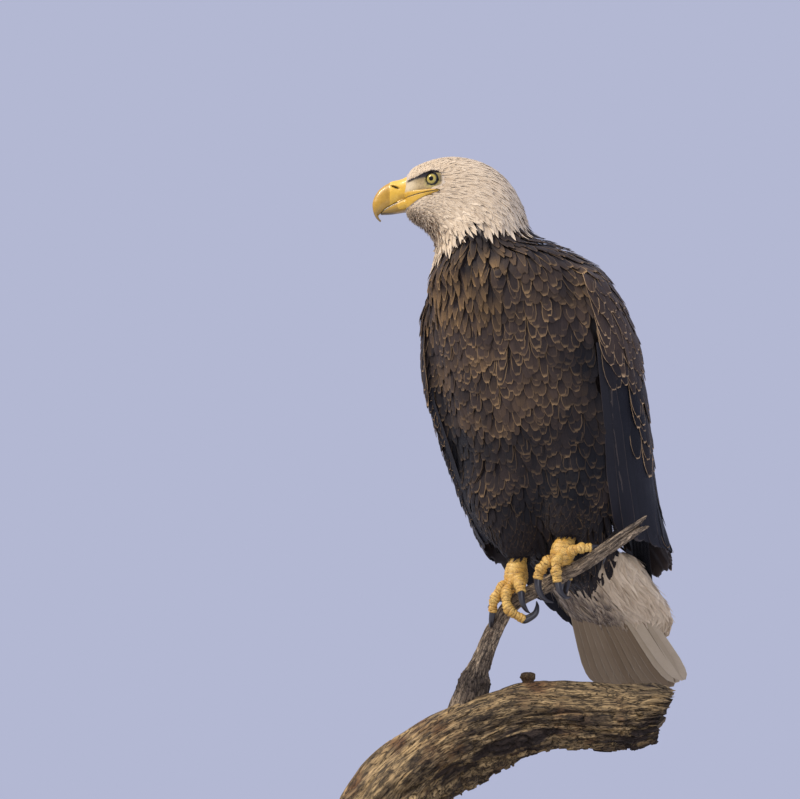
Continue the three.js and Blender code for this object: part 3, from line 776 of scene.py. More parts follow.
class Ground:
    """A surface that feathers grow on: the nearest place and its smooth normal."""

    def __init__(self, thing):
        self.points = coordinates(thing)
        self.corners = np.array([p.vertices[:] for p in thing.data.polygons])
        self.tree = tree_of(thing)
        self.normals = vertex_normals(thing)[self.corners].mean(1)

    def nearest(self, points):
        shape = points.shape
        flat = points.reshape(-1, 3)
        places, normals = np.empty_like(flat), np.empty_like(flat)
        for i, point in enumerate(flat):
            place, _, index, _ = self.tree.find_nearest(point)
            places[i] = place
            normals[i] = self.normals[index]
        return places.reshape(shape), unit(normals).reshape(shape)

    def scattered(self, spacing, wanted):
        """Places over the wanted part of the surface, about `spacing` from one another."""
        quads = self.points[self.corners]
        crossed = np.cross(quads[:, 2] - quads[:, 0], quads[:, 3] - quads[:, 1])
        share = 0.5 * np.linalg.norm(crossed, axis=1) * wanted(quads.mean(1))
        chosen = chance.choice(len(share), int(CROWD * share.sum() / spacing ** 2),
                               p=share / share.sum())
        u, v = chance.random((2, len(chosen), 1))
        a, b, c, d = np.moveaxis(quads[chosen], 1, 0)
        places = (a * (1 - u) + b * u) * (1 - v) + (d * (1 - u) + c * u) * v
        taken, kept = {}, []
        around = list(np.ndindex(3, 3, 3))
        for i, (x, y, z) in enumerate(np.floor(places / spacing).astype(int).tolist()):
            near = [k for dx, dy, dz in around
                    for k in taken.get((x + dx - 1, y + dy - 1, z + dz - 1), ())]
            if not near or np.min(np.square(places[near] - places[i]).sum(1)) > spacing ** 2:
                taken.setdefault((x, y, z), []).append(i)
                kept.append(i)
        return places[kept]


class Territory:
    """Which of some groups of solids a place is nearest to."""

    def __init__(self, *groups):
        self.trees = []
        for group in groups:
            joint = copy_of("territory", *group)
            self.trees.append(tree_of(joint))
            bpy.data.objects.remove(joint)

    def nearest(self, points):
        found = [[tree.find_nearest(point)[3] for tree in self.trees] for point in points]
        return np.argmin(found, axis=1)


HEAD_LAND, NECK_LAND, RUMP_LAND, TRUNK_LAND, WING_LAND = range(5)


def map_of_lands():
    return Territory(["head"], ["neck"], TAIL_COVERTS, ["trunk", "thigh_left", "thigh_right"],
                     ["wing_left", "wing_right"])


def depth_of_coat(points):
    """How deep the skin lies under the outline: thin on the face, deep on the body."""
    local = to_head(points)
    on_head = 1 - ease(np.linalg.norm(local - [0, 10, -20], axis=-1), 55, 110)
    bare = 1 - ease(np.linalg.norm(local - [0, -18, -22], axis=-1), 22, 40)
    return (0.009 - 0.0065 * on_head) * (1 - bare) + 0.0003 * bare


def thickness_inward(thing, points, normals):
    """How far it is through the body under each point, 0.1 m where nothing lies close behind."""
    tree = tree_of(thing)
    found = np.full(len(points), 0.1)
    for i, (point, normal) in enumerate(zip(points, normals)):
        distance = tree.ray_cast(Vector(point - normal * 1e-4), Vector(-normal), 0.08)[3]
        if distance is not None:
            found[i] = distance
    return found


def sink_in(thing):
    """Moves a closed surface inwards by the depth of the coat, less where it is thin."""
    points, normals = coordinates(thing), vertex_normals(thing)
    depth = np.minimum(depth_of_coat(points), 0.3 * thickness_inward(thing, points, normals))
    move_to(thing, points - normals * depth[:, None])
    modify(thing, "SMOOTH", factor=0.5, iterations=3)


# ---- Feathers ----
VANE_THICKNESS = 0.0005
CAMBER = 0.12  # fall of a feather's edges below its shaft, as a share of its half width
SLOPE_STEP = 0.004  # a short way along or round a surface, from which its slope is read
ROOT_FALL = 1.5
MAP_PATCH = 0.003  # size of one feather on the map of the whole skin


class Vane:
    """The shape that one kind of feather has: a thin closed blade in rows along and across."""

    def __init__(self, stations, columns, outline, thickness=VANE_THICKNESS, ragged=0.0):
        self.stations = np.array(stations, float)
        across = np.linspace(-1, 1, columns)
        rows = len(stations)
        index, station, place, side = {}, [], [], []
        for face in (1, -1):
            for r in range(rows):
                for c in range(columns):
                    rim = r in (0, rows - 1) or c in (0, columns - 1)
                    if rim and face < 0:
                        index[face, r, c] = index[1, r, c]
                        continue
                    index[face, r, c] = len(station)
                    station.append(r)
                    place.append(across[c])
                    side.append(0 if rim else face)
        self.station = np.array(station)
        self.across = np.array(place)
        self.side = np.array(side, float)
        self.along = self.stations[self.station]
        self.half = np.array([outline(u) for u in stations])[self.station]
        faces = []
        for face in (1, -1):
            for r in range(rows - 1):
                for c in range(columns - 1):
                    corners = [index[face, r, c], index[face, r, c + 1],
                               index[face, r + 1, c + 1], index[face, r + 1, c]]
                    faces.append(corners[::face])
        self.faces = np.array(faces)
        self.thickness, self.ragged = thickness, ragged


def rounded(widest, tip, root_half=0.3, tip_half=0.12):
    """Half width along a feather with parallel sides and a round end from `widest` on."""

    def half(u):
        if u < widest:
            return root_half + (1 - root_half) * math.sin(math.pi / 2 * u / widest)
        return max(tip_half, (1 - ((u - widest) / (1 - widest)) ** tip) ** (1 / tip))

    return half


def pointed(widest, root_half=0.35):
    """Half width along a lance-shaped feather."""

    def half(u):
        if u < widest:
            return root_half + (1 - root_half) * math.sin(math.pi / 2 * u / widest)
        return max(0.05, math.cos(math.pi / 2 * (u - widest) / (1 - widest)) ** 0.9)

    return half


SCALE = Vane([0, 0.4, 0.75, 0.92, 1], 5, rounded(0.6, 2.4, tip_half=0.40), ragged=0.10)
POINT = Vane([0, 0.35, 0.65, 0.87, 1], 5, rounded(0.45, 1.5, tip_half=0.22), ragged=0.14)
COVERT = Vane([0, 0.3, 0.55, 0.72, 0.84, 0.93, 1], 5, rounded(0.62, 1.9, tip_half=0.26),
              ragged=0.07)
LANCE = Vane([0, 0.3, 0.6, 0.82, 1], 3, pointed(0.45))
LONG_LANCE = Vane([0, 0.2, 0.4, 0.6, 0.8, 0.92, 1], 3, pointed(0.5))
QUILL = Vane([0, 0.2, 0.4, 0.6, 0.75, 0.86, 0.93, 0.97, 1], 7, rounded(0.8, 2.4, 0.5, 0.2),
             0.0009)


class Coat:
    """Feathers gathered into one piece."""

    def __init__(self, name):
        self.name = name
        self.points, self.faces, self.along, self.across = [], [], [], []
        self.marks, self.bake = [], []
        self.count = 0

    def add(self, vane, centres, sides, normals, half_width, marks, roots, roll=0.0):
        """Feathers from their centre lines: centres, sides and normals are (n, stations, 3),
        marks (n, 4) and roots (n, 2), the place on the unwrapped skin."""
        n = len(centres)
        centre, side, up = (a[:, vane.station] for a in (centres, sides, normals))
        half_width = np.broadcast_to(half_width, n)[:, None]
        half = half_width * vane.half[None]
        side = unit(side + up * np.reshape(roll, (-1, 1, 1)))
        up = unit(up - side * (up * side).sum(-1, keepdims=True))
        v = vane.across[None]
        lift = vane.side[None] * vane.thickness / 2 - CAMBER * v * v * half
        at = centre + side * (half * v)[..., None] + up * lift[..., None]
        if vane.ragged:
            ahead = unit(centres[:, -1] - centres[:, 0])[:, None]
            columns = np.unique(vane.across)
            worn = chance.uniform(-1, 1, (n, len(vane.stations), len(columns)))
            column = np.searchsorted(columns, vane.across)
            worn = worn[:, vane.station, column] * ease(vane.along, 0.5, 0.9)
            at = at + ahead * (worn * vane.ragged * half_width)[..., None]
        m = at.shape[1]
        self.points.append(at.reshape(-1, 3))
        offsets = self.count + np.arange(n)[:, None, None] * m
        self.faces.append((vane.faces[None] + offsets).reshape(-1, 4))
        self.along.append(np.tile(vane.along, n))
        self.across.append(np.tile(vane.across, n))
        self.marks.append(np.repeat(np.asarray(marks, float), m, axis=0))
        patch = MAP_PATCH * np.stack([vane.across / 2, vane.along - 0.5], -1)
        self.bake.append((np.asarray(roots)[:, None] + patch[None]).reshape(-1, 2))
        self.count += n * m

    def build(self, material, slot, *replaced):
        thing = mesh_piece(self.name, np.concatenate(self.points), np.concatenate(self.faces))
        along, across = np.concatenate(self.along), np.concatenate(self.across)
        uv_map(thing, "OFBake", np.concatenate(self.bake))
        uv_map(thing, "Vane", np.stack([across / 2 + 0.5, along], -1))
        marks = np.concatenate(self.marks)
        for column, name in enumerate(("tone", "gold_and_painted_light", "shade", "fringe")):
            float_attribute(thing, name, marks[:, column])
        smooth(thing, 60)
        thing.data.uv_layers.active = thing.data.uv_layers["OFBake"]
        return finished(thing, material, slot, *replaced)


def spaced_turns(surface, t, spacing, offset, low=0.0, high=FULL_TURN):
    """Places round one ring of a surface, evenly apart along it."""
    turns = np.linspace(low, high, 121)
    ring = surface(np.full(turns.shape, t), turns)
    travelled = np.concatenate([[0], np.cumsum(np.linalg.norm(np.diff(ring, axis=0), axis=-1))])
    count = max(2, int(round(travelled[-1] / spacing)))
    return np.interp((np.arange(count) + offset) / count * travelled[-1], travelled, turns)


def rows_of_roots(surface, start, end, pitch, spacing, jitter, low=0.0, high=FULL_TURN):
    """Roots in staggered rows: arrays of t and turn. pitch(t) and spacing(t) are in metres."""
    all_t, all_turn = [], []
    t, row = start, 0
    middle = np.linspace(low, high, 9)
    while t < end:
        turns = spaced_turns(surface, t, spacing(t), 0.25 + 0.5 * (row % 2), low, high)
        there = surface(np.full(9, t + SLOPE_STEP), middle)
        apart = np.linalg.norm(there - surface(np.full(9, t), middle), axis=-1).mean()
        speed = apart / SLOPE_STEP
        gap = (high - low) / len(turns)
        all_turn.append(turns + chance.uniform(-jitter, jitter, len(turns)) * gap)
        all_t.append(t + chance.uniform(-jitter, jitter, len(turns)) * pitch(t) / speed)
        t += pitch(t) / speed
        row += 1
    return np.concatenate(all_t), np.concatenate(all_turn)


def raised(centres, normals, stations, depth, proud):
    """Centre lines with their roots sunk by the depth and their ends standing proud."""
    depth, proud = (np.broadcast_to(a, len(centres))[:, None] for a in (depth, proud))
    height = -depth * (1 - stations) ** ROOT_FALL + proud * stations ** 2
    return centres + normals * height[..., None]


def lay(surface, t, turn, vane, length, depth, proud=0.0, yaw=0.0, ground=None, cling=1.0,
        facing=1):
    """Centre lines of feathers along a surface: (centres, sides, normals)."""
    length, yaw = (np.broadcast_to(a, len(t))[:, None] for a in (length, yaw))
    here, step = surface(t, turn), SLOPE_STEP
    speed = np.linalg.norm(surface(t + step, turn) - here, axis=-1)[:, None] / step
    turning = np.linalg.norm(surface(t, turn + step) - here, axis=-1)[:, None] / step
    along_t = t[:, None] + vane.stations * length * np.cos(yaw) / np.maximum(speed, 1e-4)
    along_turn = (turn[:, None]
                  + vane.stations * length * np.sin(yaw) / np.maximum(turning, 1e-3))
    centres = surface(along_t, along_turn)
    across = surface(along_t, along_turn + step) - surface(along_t, along_turn - step)
    if ground is not None:
        places, normals = ground.nearest(centres)
        centres = centres + (places - centres) * cling
    ahead = unit(np.gradient(centres, axis=1))
    own = unit(np.cross(ahead, along_surface(across, ahead))) * facing
    if ground is None:
        normals = own
    else:
        own = own * np.where((own * normals).sum(-1, keepdims=True) < 0, -1, 1)
        normals = unit(own * (1 - 0.7 * cling) + normals * 0.7 * cling)
    sides = unit(np.cross(normals, ahead))
    return raised(centres, normals, vane.stations, depth, proud), sides, normals


def along_surface(vectors, normals):
    return unit(vectors - normals * (vectors * normals).sum(-1, keepdims=True))


def march(ground, roots, heading, vane, length, depth, proud=0.0, yaw=0.0, drift=(0, 0, 0)):
    """Centre lines that creep over the ground from their roots, turning slowly to the drift."""
    length = np.broadcast_to(length, len(roots))
    place, normal = ground.nearest(roots)
    heading = along_surface(heading, normal)
    yaw = np.broadcast_to(yaw, len(roots))[:, None]
    heading = heading * np.cos(yaw) + np.cross(normal, heading) * np.sin(yaw)
    places, normals = [place], [normal]
    for step in np.diff(vane.stations):
        place = place + heading * (length * step)[:, None]
        place, normal = ground.nearest(place)
        heading = along_surface(unit(heading) + np.asarray(drift, float) * step, normal)
        places.append(place)
        normals.append(normal)
    centres, normals = np.stack(places, 1), np.stack(normals, 1)
    sides = unit(np.cross(normals, unit(np.gradient(centres, axis=1))))
    return raised(centres, normals, vane.stations, depth, proud), sides, normals


def marks_of(n, gold_and_painted_light=0.0, shade=0.0, fringe=0.5):
    marks = [chance.random(n), gold_and_painted_light, shade, fringe]
    return np.stack([np.broadcast_to(mark, n) for mark in marks], -1)


def unwrapped(t, turn, low=0.0, high=FULL_TURN):
    u = (turn - low) / (high - low)
    return np.stack([0.01 + 0.98 * np.mod(u, 1), np.clip(0.01 + 0.98 * t, 0.01, 0.99)], -1)


# ---- The coat, tract by tract ----
def in_left_plane(points):
    """Places in the head's frame with both sides folded onto the left."""
    local = to_head(points)
    local[..., 0] = np.abs(local[..., 0])
    return local


BROW_LINE = [(-29, -10.5), (-20, -7), (-12, -3.4), (-4, 0.4), (3, 2.2), (9, 1.2), (14, -3.5)]
MOUTH_LINE = [(-63, -48.6), (-54, -42.6), (-42, -36.8), (-32, -31.8), (-20, -30.0), (-4, -27.7),
              (9, -26.9)]
LIP_TOP = [(-45, -27), (-36, -25), (-30, -24.5), (-16, -24.5), (-2, -24.6), (11, -26.0)]
LIP_FOOT = [(-45, -46.5), (-36, -46), (-28, -43.5), (-20, -39), (-12, -34.2), (0, -30.2),
            (11, -27.5)]


def line_height(line, y):
    """Height of a line on the face over each place along it."""
    return np.interp(y, [p[0] for p in line], [p[1] for p in line])


def on_lips(y, z):
    """1 on the yellow flesh beside the mouth, falling off over a millimetre."""
    above = ease(line_height(LIP_TOP, y) - z, -0.8, 0.8)
    below = ease(z - line_height(LIP_FOOT, y), -0.8, 0.8)
    return above * below * (y < 11)


LIDS_MIDDLE = (2.9, -10.8)  # middle of the bare skin round an eye, y and z in the head's frame
LIDS_REACH = 11.8


def from_lids(y, z):
    return np.hypot(y - LIDS_MIDDLE[0], z - LIDS_MIDDLE[1])


def on_bare_face(points):
    """True round the eye, between it and the bill, on the lips and on the bill."""
    x, y, z = np.moveaxis(in_left_plane(points), -1, 0)
    round_eye = from_lids(y, z) < LIDS_REACH
    below_brow = z < line_height(BROW_LINE, y) + 0.8
    lores = (y > -34) & (y < 0) & (z > -33) & below_brow & (x > 6)
    bill = (y < -29) & (z > -46)
    return (round_eye & (x > 15) & below_brow) | lores | bill | ((on_lips(y, z) > 0.3) & (x > 6))


# Where the white tips end along the neck: turn in degrees from the nape, then t.
WHITE_EDGE = [(0, 0.935), (60, 0.94), (76, 0.93), (84, 0.915), (90, 0.88), (97, 0.83), (116, 0.84),
              (128, 0.85), (138, 0.87), (180, 0.88)]
WHITE_MARGIN = 0.02  # the skin turns brown this much sooner than the feathers over it
BROWN_LAP = 0.09  # the brown coat starts this much above the white tips, and lies under them


def white_end(turn):
    from_nape = np.degrees(np.abs(np.mod(turn + math.pi, FULL_TURN) - math.pi))
    return np.interp(from_nape, [p[0] for p in WHITE_EDGE], [p[1] for p in WHITE_EDGE])


def neck_places():
    """A finder that gives t and turn on the head and neck for places near them."""
    surface = past_the_end(round_sections(HEAD_ROWS, HEAD_FULLNESS))
    t, turn = np.meshgrid(np.linspace(0, 1.06, 110), np.arange(120) / 120 * FULL_TURN,
                          indexing="ij")
    t, turn = t.ravel(), turn.ravel()
    tree = KDTree(len(t))
    for i, place in enumerate(surface(t, turn)):
        tree.insert(place, i)
    tree.balance()

    def find(points):
        index = [tree.find(point)[1] for point in points]
        return t[index], turn[index]

    return find


def inside_white(points, lands, find_on_neck):
    """True on the skin under white plumage, of head, neck and tail."""
    land = lands.nearest(points)
    t, turn = find_on_neck(points)
    white_neck = (land == NECK_LAND) & (t < white_end(turn) - WHITE_MARGIN)
    return (land == HEAD_LAND) | white_neck | (land == RUMP_LAND)


def buried(surface, t, turn, ground, most):
    """True where a surface lies further than `most` from the ground."""
    points = surface(t, turn)
    return np.linalg.norm(ground.nearest(points)[0] - points, axis=-1) > most


def flow(surface, t, turn):
    """The way the coat lies: along the surface from ring to ring."""
    return unit(surface(t + SLOPE_STEP, turn) - surface(t, turn))


LOOSE = 0.45  # how far soft feathers stray from their rows, as a share of the spacing
BROW_ROWS = ((0.6, 5.5), (2.0, 6.0), (3.6, 6.5))  # height over the brow line and length, mm
# Rings of hackles: how far short of the white edge they end, along the neck, and their spacing.
HACKLE_RINGS = ((0.11, 0.0034), (0.08, 0.0036), (0.045, 0.0040), (0.0, 0.0060))


def head_coat(ground):
    """The white feathers of head and neck."""
    surface = past_the_end(round_sections(HEAD_ROWS, HEAD_FULLNESS))
    coat = Coat("head_feathers")

    def size_at(t):
        return ease(t, 0.10, 0.8)

    t, turn = rows_of_roots(surface, 0.02, 0.90, lambda t: 0.0015 + 0.0050 * size_at(t),
                            lambda t: 0.0014 + 0.0024 * size_at(t), LOOSE)
    size = size_at(t)
    length = (0.0048 + 0.030 * size) * chance.uniform(0.8, 1.25, len(t))
    speed = np.linalg.norm(surface(t + 0.01, turn) - surface(t, turn), axis=-1) / 0.01
    tip = t + length / np.maximum(speed, 0.05)
    white = tip < white_end(turn) + chance.normal(0, 0.015, len(t))
    keep = ~on_bare_face(surface(t, turn)) & white
    t, turn, size, length = t[keep], turn[keep], size[keep], length[keep]
    n = len(t)
    roots = surface(t, turn)
    throat = ease(-np.cos(turn), 0.45, 0.95) * ease(t, 0.03, 0.14) * (1 - ease(t, 0.42, 0.7))
    side = ease(-np.cos(turn), -0.75, 0.05)
    loose = chance.uniform(-0.3, 1.0, n) * (0.0002 + 0.0007 * size * side + 0.0032 * throat)
    lines = march(ground, roots, flow(surface, t, turn), LANCE, length * (1 - 0.3 * throat),
                  depth_of_coat(roots) * 0.6 + 0.0003, loose,
                  chance.normal(0, 0.09 + 0.1 * throat, n))
    half = (0.0010 + 0.0021 * size) * chance.uniform(0.75, 1.15, n)
    # Random grey streaks on the cheeks and neck, over a little painted shade on the sides below the
    # lit crown; the throat adds dark bristles with painted shadow under the bill.
    streaks_and_side_shade = (0.08 + 0.42 * chance.random(n) ** 3) * (0.15 + 0.85 * side) * ease(t, 0.10, 0.3)
    shade = np.clip(streaks_and_side_shade + throat * chance.uniform(-0.1, 1.1, n), 0, 1)
    coat.add(LANCE, *lines, half, marks_of(n, 0, shade), unwrapped(t, turn),
             chance.normal(0, 0.03 + 0.07 * side, n))
    brow_coat(coat, ground)
    return coat


def brow_coat(coat, ground):
    """Short stiff feathers along the ridge over each eye, standing out over its dark edge."""
    for side in (1, -1):
        for lift, reach in BROW_ROWS:
            y = np.arange(-30, 12, 1.1)
            y = y + chance.uniform(-0.4, 0.4, len(y))
            z = line_height(BROW_LINE, y) + lift + chance.uniform(-0.3, 0.3, len(y))
            x = np.interp(y, [-31, -19, -5, 6, 16], [15, 24, 31, 34, 35]) * side
            roots = from_head(np.stack([x, y, z], -1))
            heading = np.repeat(head_direction([side * 0.25, 1.0, 0.18])[None], len(y), 0)
            n = len(y)
            lines = march(ground, roots, heading, LANCE, reach * MM * chance.uniform(0.8, 1.2, n),
                          0.0010, 0.0012, chance.normal(0, 0.12, n))
            spot = unwrapped(y * 0 + 0.2, y * 0 + 1.3 * side)
            coat.add(LANCE, *lines, 0.0011, marks_of(n), spot, chance.normal(0.25 * side, 0.15, n))


def collar_coat(ground):
    """Long white hackles whose tips make the jagged edge over the brown."""
    surface = past_the_end(round_sections(HEAD_ROWS, HEAD_FULLNESS))
    coat = Coat("neck_hackles")
    for short, spacing in HACKLE_RINGS:
        turns = spaced_turns(surface, 0.8, spacing, chance.random())
        turns = turns + chance.normal(0, 0.03, len(turns))
        n = len(turns)
        length = 0.036 * chance.uniform(0.75, 1.25, n)
        end = white_end(turns) - short + chance.normal(0, 0.022, n)
        speed = np.linalg.norm(surface(end, turns) - surface(end - 0.1, turns), axis=-1) / 0.1
        t = end - length / speed
        lines = march(ground, surface(t, turns), flow(surface, t, turns), LONG_LANCE, length, 0.006,
                      0.002 * chance.uniform(-0.2, 1, n), chance.normal(0, 0.10, n))
        half = 0.0030 * chance.uniform(0.7, 1.2, n)
        coat.add(LONG_LANCE, *lines, half, marks_of(n, 0, 0.25 * chance.random(n) ** 3),
                 unwrapped(t, turns), chance.normal(0, 0.15, n))
    return coat


BODY_LINE = unit(np.array([0, 0.32, -0.95]))
BODY_MIDDLE_Y = -20  # the middle of the trunk in plan, mm in the bird's frame


def round_body(points):
    """Turn about the trunk's middle (0 at the breast) and height (0 at the feet, 1 at the neck)."""
    x, y, z = in_bird(points)
    lean = y - BODY_MIDDLE_Y - 0.32 * (260 - z)
    return np.mod(np.arctan2(x, -lean), FULL_TURN), np.clip(z / 440, 0, 1)


def patches(points, size, seed=0.0):
    """Slow unevenness from -1 to 1 over the body."""
    at = np.asarray(points).reshape(-1, 3) / size + seed
    return np.array([noise.noise(Vector(p)) for p in at]).reshape(np.shape(points)[:-1])


def gold_and_highlight_of(points):
    """How golden the feathers' ends are: most on the upper breast, patchy lower down. Partly their
    own colour, partly painted highlight, strongest on the front and on the bird's right, where the
    key lamp falls.
    """
    x, y, z = in_bird(points)
    front = ease(-y - 0.2 * (z - 300), -10, 50)
    upper = ease(z, 318, 350) * (1 - ease(z, 400, 435)) * (1.15 - 0.98 * ease(x, -15, 55))
    lower = 0.24 * ease(z, 150, 215) * (1 - ease(z, 285, 315)) * (1 - 0.5 * ease(x, 10, 80))
    return np.clip(front * (upper + lower) * (1 + 2.2 * patches(points, 0.035)), 0, 1)


def dark_of(points):
    """How much painted shade, dark and blue, the feathers carry: on the belly and beside the wings,
    and darker under the collar and in patches.
    """
    x, y, z = in_bird(points)
    # Painted shade on the belly, which faces down, away from the light.
    belly = 1 - ease(z, 100, 285)
    # Painted shade in the grooves between the breast and the folded wings.
    beside = ease(np.abs(x), 42, 84) * ease(y, -125, -65) * (1 - ease(z, 285, 350))
    collar = 0.75 * ease(z, 395, 440)
    # Random patches of painted shade, like the shade in the gaps between groups of feathers.
    uneven = 0.75 * patches(points, 0.045, 5.0) + 0.35 * patches(points, 0.02, 2.0)
    return np.clip(np.maximum.reduce([0.95 * belly, beside, collar]) + uneven, 0, 1)


BODY_SPACING = 0.0074
QUARTERS = ("breast_left", "back_left", "back_right", "breast_right")  # round from the breast


def body_coat(ground, lands, find_on_neck, flesh_ground):
    """The brown feathers of neck base, breast, belly, flanks and back."""

    def brown(points):
        land = lands.nearest(points)
        t, turn = find_on_neck(points)
        return (land == TRUNK_LAND) | ((land == NECK_LAND) & (t > white_end(turn) - BROWN_LAP))

    roots = ground.scattered(BODY_SPACING, brown)
    x, y, z = in_bird(roots)
    over_groove = np.linalg.norm(flesh_ground.nearest(roots)[0] - roots, axis=-1) > 0.0055
    roots = roots[~(over_groove & (x > 60) & (y > -130) & (z < 335) & (z > 150))]
    n = len(roots)
    turn, height = round_body(roots)
    small = ease(height, 0.88, 1.0) + (1 - ease(height, 0.16, 0.34))
    length = (0.037 - 0.009 * small) * chance.uniform(0.8, 1.25, n)
    half = (0.0068 - 0.0018 * small) * chance.uniform(0.78, 1.15, n)
    gold_and_painted_light, dark = gold_and_highlight_of(roots), dark_of(roots)
    slim = (gold_and_painted_light * ease(height, 0.66, 0.76) + 0.6 * ease(height, 0.85, 0.95)
            + 0.7 * (1 - ease(height, 0.14, 0.3)) + chance.normal(0, 0.14, n)) > 0.42
    heading = np.broadcast_to(BODY_LINE, roots.shape)
    coats = []
    for quarter, name in enumerate(QUARTERS):
        coat = Coat(f"{name}_feathers")
        for vane, some in ((SCALE, ~slim), (POINT, slim)):
            part = some & (np.floor(turn / FULL_TURN * 4) == quarter)
            count = int(part.sum())
            if not count:
                continue
            swirl = 0.30 * patches(roots[part], 0.04, 9.0)
            lines = march(ground, roots[part], heading[part], vane, length[part], 0.0075,
                          0.0006 * chance.uniform(-1, 1.3, count),
                          swirl + chance.normal(0, 0.15, count), BODY_LINE * 0.3)
            # Pale edges fade where painted shade lies.
            fringe = chance.random(count) ** 1.6 * (1 - 0.7 * dark[part])
            marks = marks_of(count, gold_and_painted_light[part] * chance.uniform(0.2, 1.1, count), dark[part],
                             fringe)
            coat.add(vane, *lines, half[part] * (0.85 if vane is POINT else 1), marks,
                     unwrapped(height[part], turn[part]), chance.normal(0, 0.10, count))
        coats.append(coat)
    return coats


CUFF_STARTS = (0.20, 0.27, 0.33)  # roots of the ragged cuffs, along the shank
CUFF_LIFT = 0.0034


def thigh_coat(ground):
    """Long soft trousers that end in ragged cuffs over the ankles."""
    coat = Coat("thigh_feathers")
    for side, rows in THIGH_ROWS.items():
        surface = past_the_end(tube_surface(rows))
        t, turn = rows_of_roots(surface, 0.35, 0.97, lambda t: 0.0065, lambda t: 0.0060, 0.4)
        keep = ~buried(surface, t, turn, ground, 0.012)
        t, turn = t[keep], turn[keep]
        n = len(t)
        thin = ease(t, 0.55, 1)
        length = (0.034 - 0.014 * thin) * chance.uniform(0.8, 1.25, n)
        lines = lay(surface, t, turn, LONG_LANCE, length, 0.007 - 0.004 * thin,
                    0.0015 * chance.uniform(-1, 1, n), chance.normal(0, 0.1, n), ground, 0.6)
        # The trousers carry painted shade, as the low belly does.
        coat.add(LONG_LANCE, *lines, (0.0050 - 0.0022 * thin) * chance.uniform(0.8, 1.15, n),
                 marks_of(n, 0, 0.8, 0.25 * chance.random(n)), unwrapped(t, turn),
                 chance.normal(0, 0.12, n))
        ankle = tube_surface(SHANKS[side])
        for start in CUFF_STARTS:
            turn = spaced_turns(ankle, start, 0.0040, chance.random())
            n = len(turn)
            t = np.full(n, start)
            lines = lay(ankle, t, turn, LONG_LANCE, 0.018 * chance.uniform(0.5, 1.4, n), 0.0,
                        0.0016 * chance.random(n), chance.normal(0, 0.16, n), facing=-1)
            lifted = lines[0] + lines[2] * CUFF_LIFT
            # The cuffs carry the same painted shade.
            coat.add(LONG_LANCE, lifted, *lines[1:], 0.0022 * chance.uniform(0.8, 1.2, n),
                     marks_of(n, 0, 0.8, 0.2 * chance.random(n)), unwrapped(t, turn),
                     chance.normal(0, 0.15, n))
    return coat


# Layers: pitch, spacing, length, half width and how far the ends stand off, mm.
TAIL_COVERT_LAYERS = ((7, 6, 46, 4.2, 0.0), (11, 8, 42, 2.4, 4.0))


def covert_coat(ground):
    """The fluffy coverts over and under the root of the tail, white at one side, with painted shade
    on the underside in front.
    """
    surface = past_the_end(covert_surface())
    coat = Coat("tail_covert_feathers")
    for pitch, spacing, length_mm, half_mm, lift in TAIL_COVERT_LAYERS:
        t, turn = rows_of_roots(surface, 0.10, 0.95, lambda t: pitch * MM, lambda t: spacing * MM,
                                LOOSE)
        keep = ~buried(surface, t, turn, ground, 0.010)
        t, turn = t[keep], turn[keep]
        n = len(t)
        length = length_mm * MM * chance.uniform(0.7, 1.3, n) * (1 - 0.3 * ease(t, 0.6, 0.95))
        lines = lay(surface, t, turn, LONG_LANCE, length, 0.006,
                    (0.001 + lift * MM) * chance.uniform(-0.6, 1.2, n), chance.normal(0, 0.22, n),
                    ground, 0.75)
        tips = lines[0][:, -1]
        x, y, z = in_bird(tips)
        # Painted shade on the front of the underside, where the body shades it.
        front = 1 - ease(x + 20 * patches(tips, 0.03) + 0.25 * (z + 40), 12, 60)
        below = np.cos(turn) < 0.35
        coat.add(LONG_LANCE, *lines, half_mm * MM * chance.uniform(0.75, 1.25, n),
                 marks_of(n, front * below, 0.3 * chance.random(n)), unwrapped(t, turn),
                 chance.normal(0, 0.3, n))
    return coat


SMALL_COVERT_SPACING = 0.0082
# Bands of coverts: start and end along the wing, pitch, spacing, length and half width in mm, and
# how far back from the leading edge the band starts.
WING_BANDS = (
    (0.10, 0.30, 9, 10, 34, 7.6, 0.0),
    (0.26, 0.48, 13, 12, 54, 8.8, 0.0),
    (0.44, 0.60, 20, 14, 84, 10.5, 0.18),
    (0.60, 0.80, 24, 15, 108, 11.0, 0.45),
)
WING_QUILLS = 15
QUILL_SUNK, QUILL_STEP = 0.0016, 0.00015  # depth of the first quill, and what each next one gains


